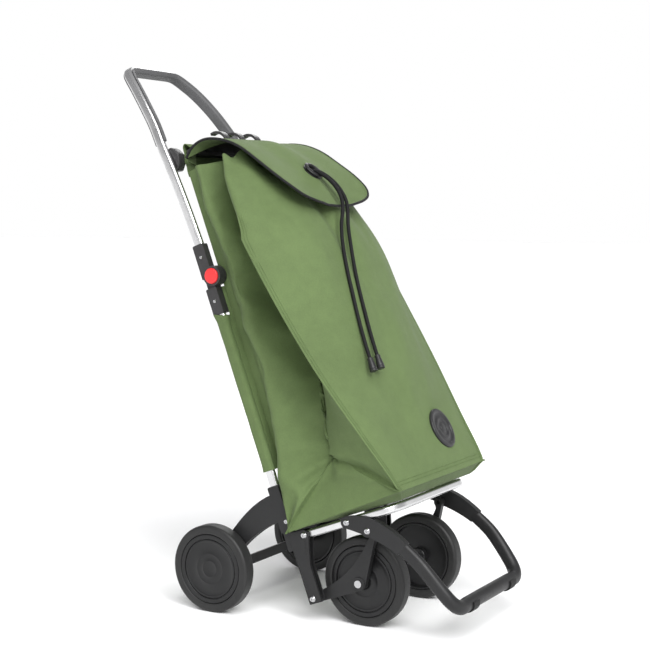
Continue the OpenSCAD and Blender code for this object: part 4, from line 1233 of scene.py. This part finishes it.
def make_brackets():
    """Moulded brackets that hold the hook rail against the inner faces of the handle."""
    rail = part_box("hook_rail")[1][0]
    above = [p for p in handle_half() if p[2] >= RAIL_UP]
    outer = above[0][0] - 0.0062
    back = above[0][1]
    shape = [(-0.011, 0.004), (-0.007, 0.015), (0.010, 0.017), (0.017, 0.011), (0.024, -0.002),
             (0.020, -0.020), (0.010, -0.031), (-0.004, -0.028), (-0.010, -0.016)]
    outline = [(back + fwd, RAIL_UP + up) for fwd, up in shape]
    head = [(0, 0.0004), (0.0012, 0.0006), (0.0030, 0.0012), (0.0036, 0.0006), (0.0037, -0.0020),
            (0, -0.0020)]
    for side, sign in SIDES.items():
        body = plate(f"rail_bracket_{side}", outline, sign * (rail - 0.001), sign * outer, 0.003)
        settle(body, "handle", "charcoal_plastic", socket_grey, f"bracket_{side}")
        screw = lathe(f"bracket_screw_{side}", head,
                      at(sign * (outer + rail) / 2, back + 0.002, RAIL_UP + 0.0162), UPWARD, 32)
        settle(screw, "handle", "steel", steel)


make_brackets()


# ------------------------------------------------------------------ wheels

WHEEL_R = 0.0825
WHEEL_W = 0.030
TYRE_IN = 0.066


def tyre_profile():
    """Section of a tyre: (radius, distance from the inner face)."""
    corner = 0.006
    tread = []
    for k in range(9):
        turn = math.pi / 2 * k / 8
        tread.append((WHEEL_R - corner + corner * math.sin(turn), corner - corner * math.cos(turn)))
    mirrored = [(r, WHEEL_W - z) for r, z in tread[::-1]]
    crown = [(WHEEL_R - 0.0001, WHEEL_W * 0.36), (WHEEL_R, WHEEL_W / 2), (WHEEL_R - 0.0001, WHEEL_W * 0.64)]
    inside = [(TYRE_IN + 0.004, WHEEL_W - 0.0001), (TYRE_IN + 0.0012, WHEEL_W - 0.0004),
              (TYRE_IN + 0.0003, WHEEL_W - 0.0014), (TYRE_IN, WHEEL_W - 0.003), (TYRE_IN, 0.003),
              (TYRE_IN + 0.0003, 0.0014), (TYRE_IN + 0.0012, 0.0004), (TYRE_IN + 0.004, 0.0001)]
    return tread + crown + mirrored + inside


def hub_profile(bore_to):
    """Section of a hub from its outer face round to its bore, with grooves and a dished disc."""
    face = WHEEL_W - 0.001
    edge = TYRE_IN - 0.0004
    disc = face - 0.0016
    rings = [(edge, face - 0.0022), (edge - 0.0003, face - 0.0008), (edge - 0.0012, face - 0.0001),
             (edge - 0.0020, face), (0.0582, face), (0.0574, face - 0.0002), (0.0569, face - 0.0009),
             (0.0566, face - 0.0028), (0.0557, face - 0.0028), (0.0553, face - 0.0014),
             (0.0546, face - 0.0009), (0.0520, face - 0.0009), (0.0512, face - 0.0013),
             (0.0505, disc - 0.0002), (0.0300, disc + 0.0003), (0.0292, disc + 0.0008),
             (0.0284, disc + 0.0008), (0.0276, disc + 0.0004), (0.0165, disc + 0.0006),
             (0.0158, disc + 0.0011), (0.0150, disc + 0.0011), (0.0142, disc + 0.0006)]
    back = [(edge, 0.0025), (edge - 0.0010, 0.0005), (0.0622, 0.0005), (0.0612, 0.0012), (0.0606, 0.0120),
            (0.0160, 0.0120), (0.0156, 0.0008), (0.0148, 0.0), (0.00512, 0.0)]
    if bore_to < WHEEL_W:
        return [(0, disc + 0.0010)] + rings[::-1] + back + [(0.00512, bore_to), (0, bore_to)], False
    return [(0.00512, disc + 0.0006)] + rings[::-1] + back, True


def make_wheels():
    for end, bore_to in (("rear", 0.0245), ("front", 0.031)):
        for side, sign in SIDES.items():
            low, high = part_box(f"{end}_tyre_{side}")
            middle = Vector(low).lerp(Vector(high), 0.5)
            inner = Vector((middle.x - sign * WHEEL_W / 2, middle.y, middle.z))
            axis = Vector((sign, 0, 0))
            body = f"{end}_wheel_{side}"
            tyre = lathe(f"{end}_{side}_tyre", tyre_profile(), inner, axis, 160, closed=True)
            tyre.data.set_sharp_from_angle(angle=math.radians(55))
            settle(tyre, body, "tyre", tyre_black, f"{end}_tyre_{side}")
            profile, closed = hub_profile(bore_to)
            hub = lathe(f"{end}_{side}_hub", profile, inner, axis, 160, closed)
            hub.data.set_sharp_from_angle(angle=math.radians(42))
            settle(hub, body, "charcoal_plastic", hub_black, f"{end}_hub_{side}")


make_wheels()


# ------------------------------------------------------------------ foot

FOOT_D = 0.026
FOOT_T = 0.0145
FOOT_MID = 0.15375
FOOT_TURN = (0.211, 0.042)
FOOT_BAR = (0.264, -0.084)


def make_foot():
    mid, turn, bar = FOOT_MID, FOOT_TURN, FOOT_BAR
    half = smooth([(mid, turn[0] - 0.003, turn[1] + 0.004), (mid - 0.001, turn[0] + 0.020, turn[1] - 0.034),
                   (mid - 0.007, bar[0] - 0.015, bar[1] + 0.046),
                   (mid - 0.016, bar[0] - 0.004, bar[1] + 0.014),
                   (mid - 0.034, bar[0], bar[1]), (mid - 0.060, bar[0], bar[1])], 12)
    path = both_sides(half)

    def section(share):
        k = min(share, 1 - share) * 2
        width = lerp(FOOT_T - 0.0006, FOOT_D, min(1, k * 1.4))
        return oval(min(width, FOOT_D - 0.0001), FOOT_D, 28)

    loop = sweep("foot_bow", path, section)
    loop.data.set_sharp_from_angle(angle=math.radians(50))
    settle(loop, "foot", "charcoal_plastic", charcoal, "foot_loop")


make_foot()


# ------------------------------------------------------------------ buttons

def make_buttons():
    for side, sign in SIDES.items():
        low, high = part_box(f"button_{side}")
        middle = Vector(low).lerp(Vector(high), 0.5)
        inner = high[0] if sign < 0 else low[0]
        length = high[0] - low[0]
        radius = (high[2] - low[2]) / 2
        seat = length - 0.0057
        profile = [(0, 0), (0.004, 0.0), (0.004, seat), (radius - 0.0006, seat), (radius, seat + 0.0006),
                   (radius, length - 0.0022), (radius - 0.0003, length - 0.0012),
                   (radius - 0.0012, length - 0.0003), (radius - 0.0026, length),
                   (radius * 0.6, length + 0.0002),
                   (0, length + 0.0003)]
        piece = lathe(f"release_button_{side}", profile, Vector((inner, middle.y, middle.z)),
                      Vector((sign, 0, 0)), 96)
        piece.data.set_sharp_from_angle(angle=math.radians(50))
        settle(piece, f"button_{side}", "button_red", button_red, f"button_{side}")


make_buttons()


# ------------------------------------------------------------------ carried-over nodes

FINISHES = {
    "silver_tube": silver, "steel": steel, "charcoal_plastic": charcoal, "grip": grip_grey,
    "button_red": button_red, "tyre": tyre_black, "rubber_pad": pad_black, "green_fabric": fabric,
    "black_trim": binding, "tip_plastic": tip_grey, "board": board_black}
HINGE_NODES = ("upper_socket", "lower_socket", "bracket", "hook_rail")


def finish_nodes():
    """Gives every CAD node its finish, and moulded or turned nodes softened edges."""
    slots = {part["node"]: part["material_slot"] for part in frame["record"]["subparts"]}
    for name, node in frame["nodes"].items():
        slot = slots[name]
        finish = socket_grey if name.startswith(HINGE_NODES) else FINISHES[slot]
        node.data.materials.clear()
        node.data.materials.append(finish)
        if slot in ("charcoal_plastic", "steel", "rubber_pad"):
            weld = node.modifiers.new("joined", "WELD")
            weld.merge_threshold = 1e-6
            soften(node, 0.0009 if slot != "steel" else 0.0003, 2, 35)
            even = node.modifiers.new("even", "WEIGHTED_NORMAL")
            even.keep_sharp = False


finish_nodes()


# ------------------------------------------------------------------ studio

def add_area(name, place, target, size, power, tint=(1, 1, 1)):
    data = bpy.data.lights.new(name, "AREA")
    data.shape, data.size, data.energy, data.color = "DISK", size, power, tint
    light = bpy.data.objects.new(name, data)
    light.location = place
    light.rotation_euler = (Vector(target) - Vector(place)).to_track_quat("-Z", "Y").to_euler()
    bpy.context.scene.collection.objects.link(light)


def add_studio():
    corners = [(-30, -30, 0), (30, -30, 0), (30, 30, 0), (-30, 30, 0)]
    floor = mesh_piece("studio_floor", corners, [(0, 1, 2, 3)])
    white = new_material("studio_white", base_color=(0.97, 0.97, 0.975, 1), roughness=0.95)[0]
    floor.data.materials.append(white)
    world = bpy.data.worlds.new("studio")
    bpy.context.scene.world = world
    world.use_nodes = True
    board = Wire(world.node_tree)
    height = board.node("SeparateXYZ", {0: board.node("TexCoord", output=0)}, output=2)
    backdrop = world.node_tree.nodes["Background"]
    white, dim, dim_top = (1.0, 1.0, 1.0, 1), (0.36, 0.36, 0.365, 1), (0.40, 0.40, 0.405, 1)
    shade_up = board.node("ValToRGB", {0: height},
                          stops=[(0.0, white), (0.17, white), (0.30, dim), (1.0, dim_top)])
    world.node_tree.links.new(shade_up.socket, backdrop.inputs["Color"])
    backdrop.inputs["Strength"].default_value = 1.0
    sun = bpy.data.lights.new("overhead", "SUN")
    sun.energy, sun.angle = 3.0, math.radians(50)
    lamp = bpy.data.objects.new("overhead", sun)
    lamp.rotation_euler = (-Vector((-0.70, -0.60, 0.95))).to_track_quat("-Z", "Y").to_euler()
    bpy.context.scene.collection.objects.link(lamp)
    middle = (0, 0, 0.5)
    add_area("key", (-2.0, -3.0, 2.6), middle, 1.4, 60)
    add_area("edge", (2.6, 1.2, 2.4), middle, 1.6, 25)
    bpy.context.scene.view_settings.view_transform = "Standard"


add_studio()
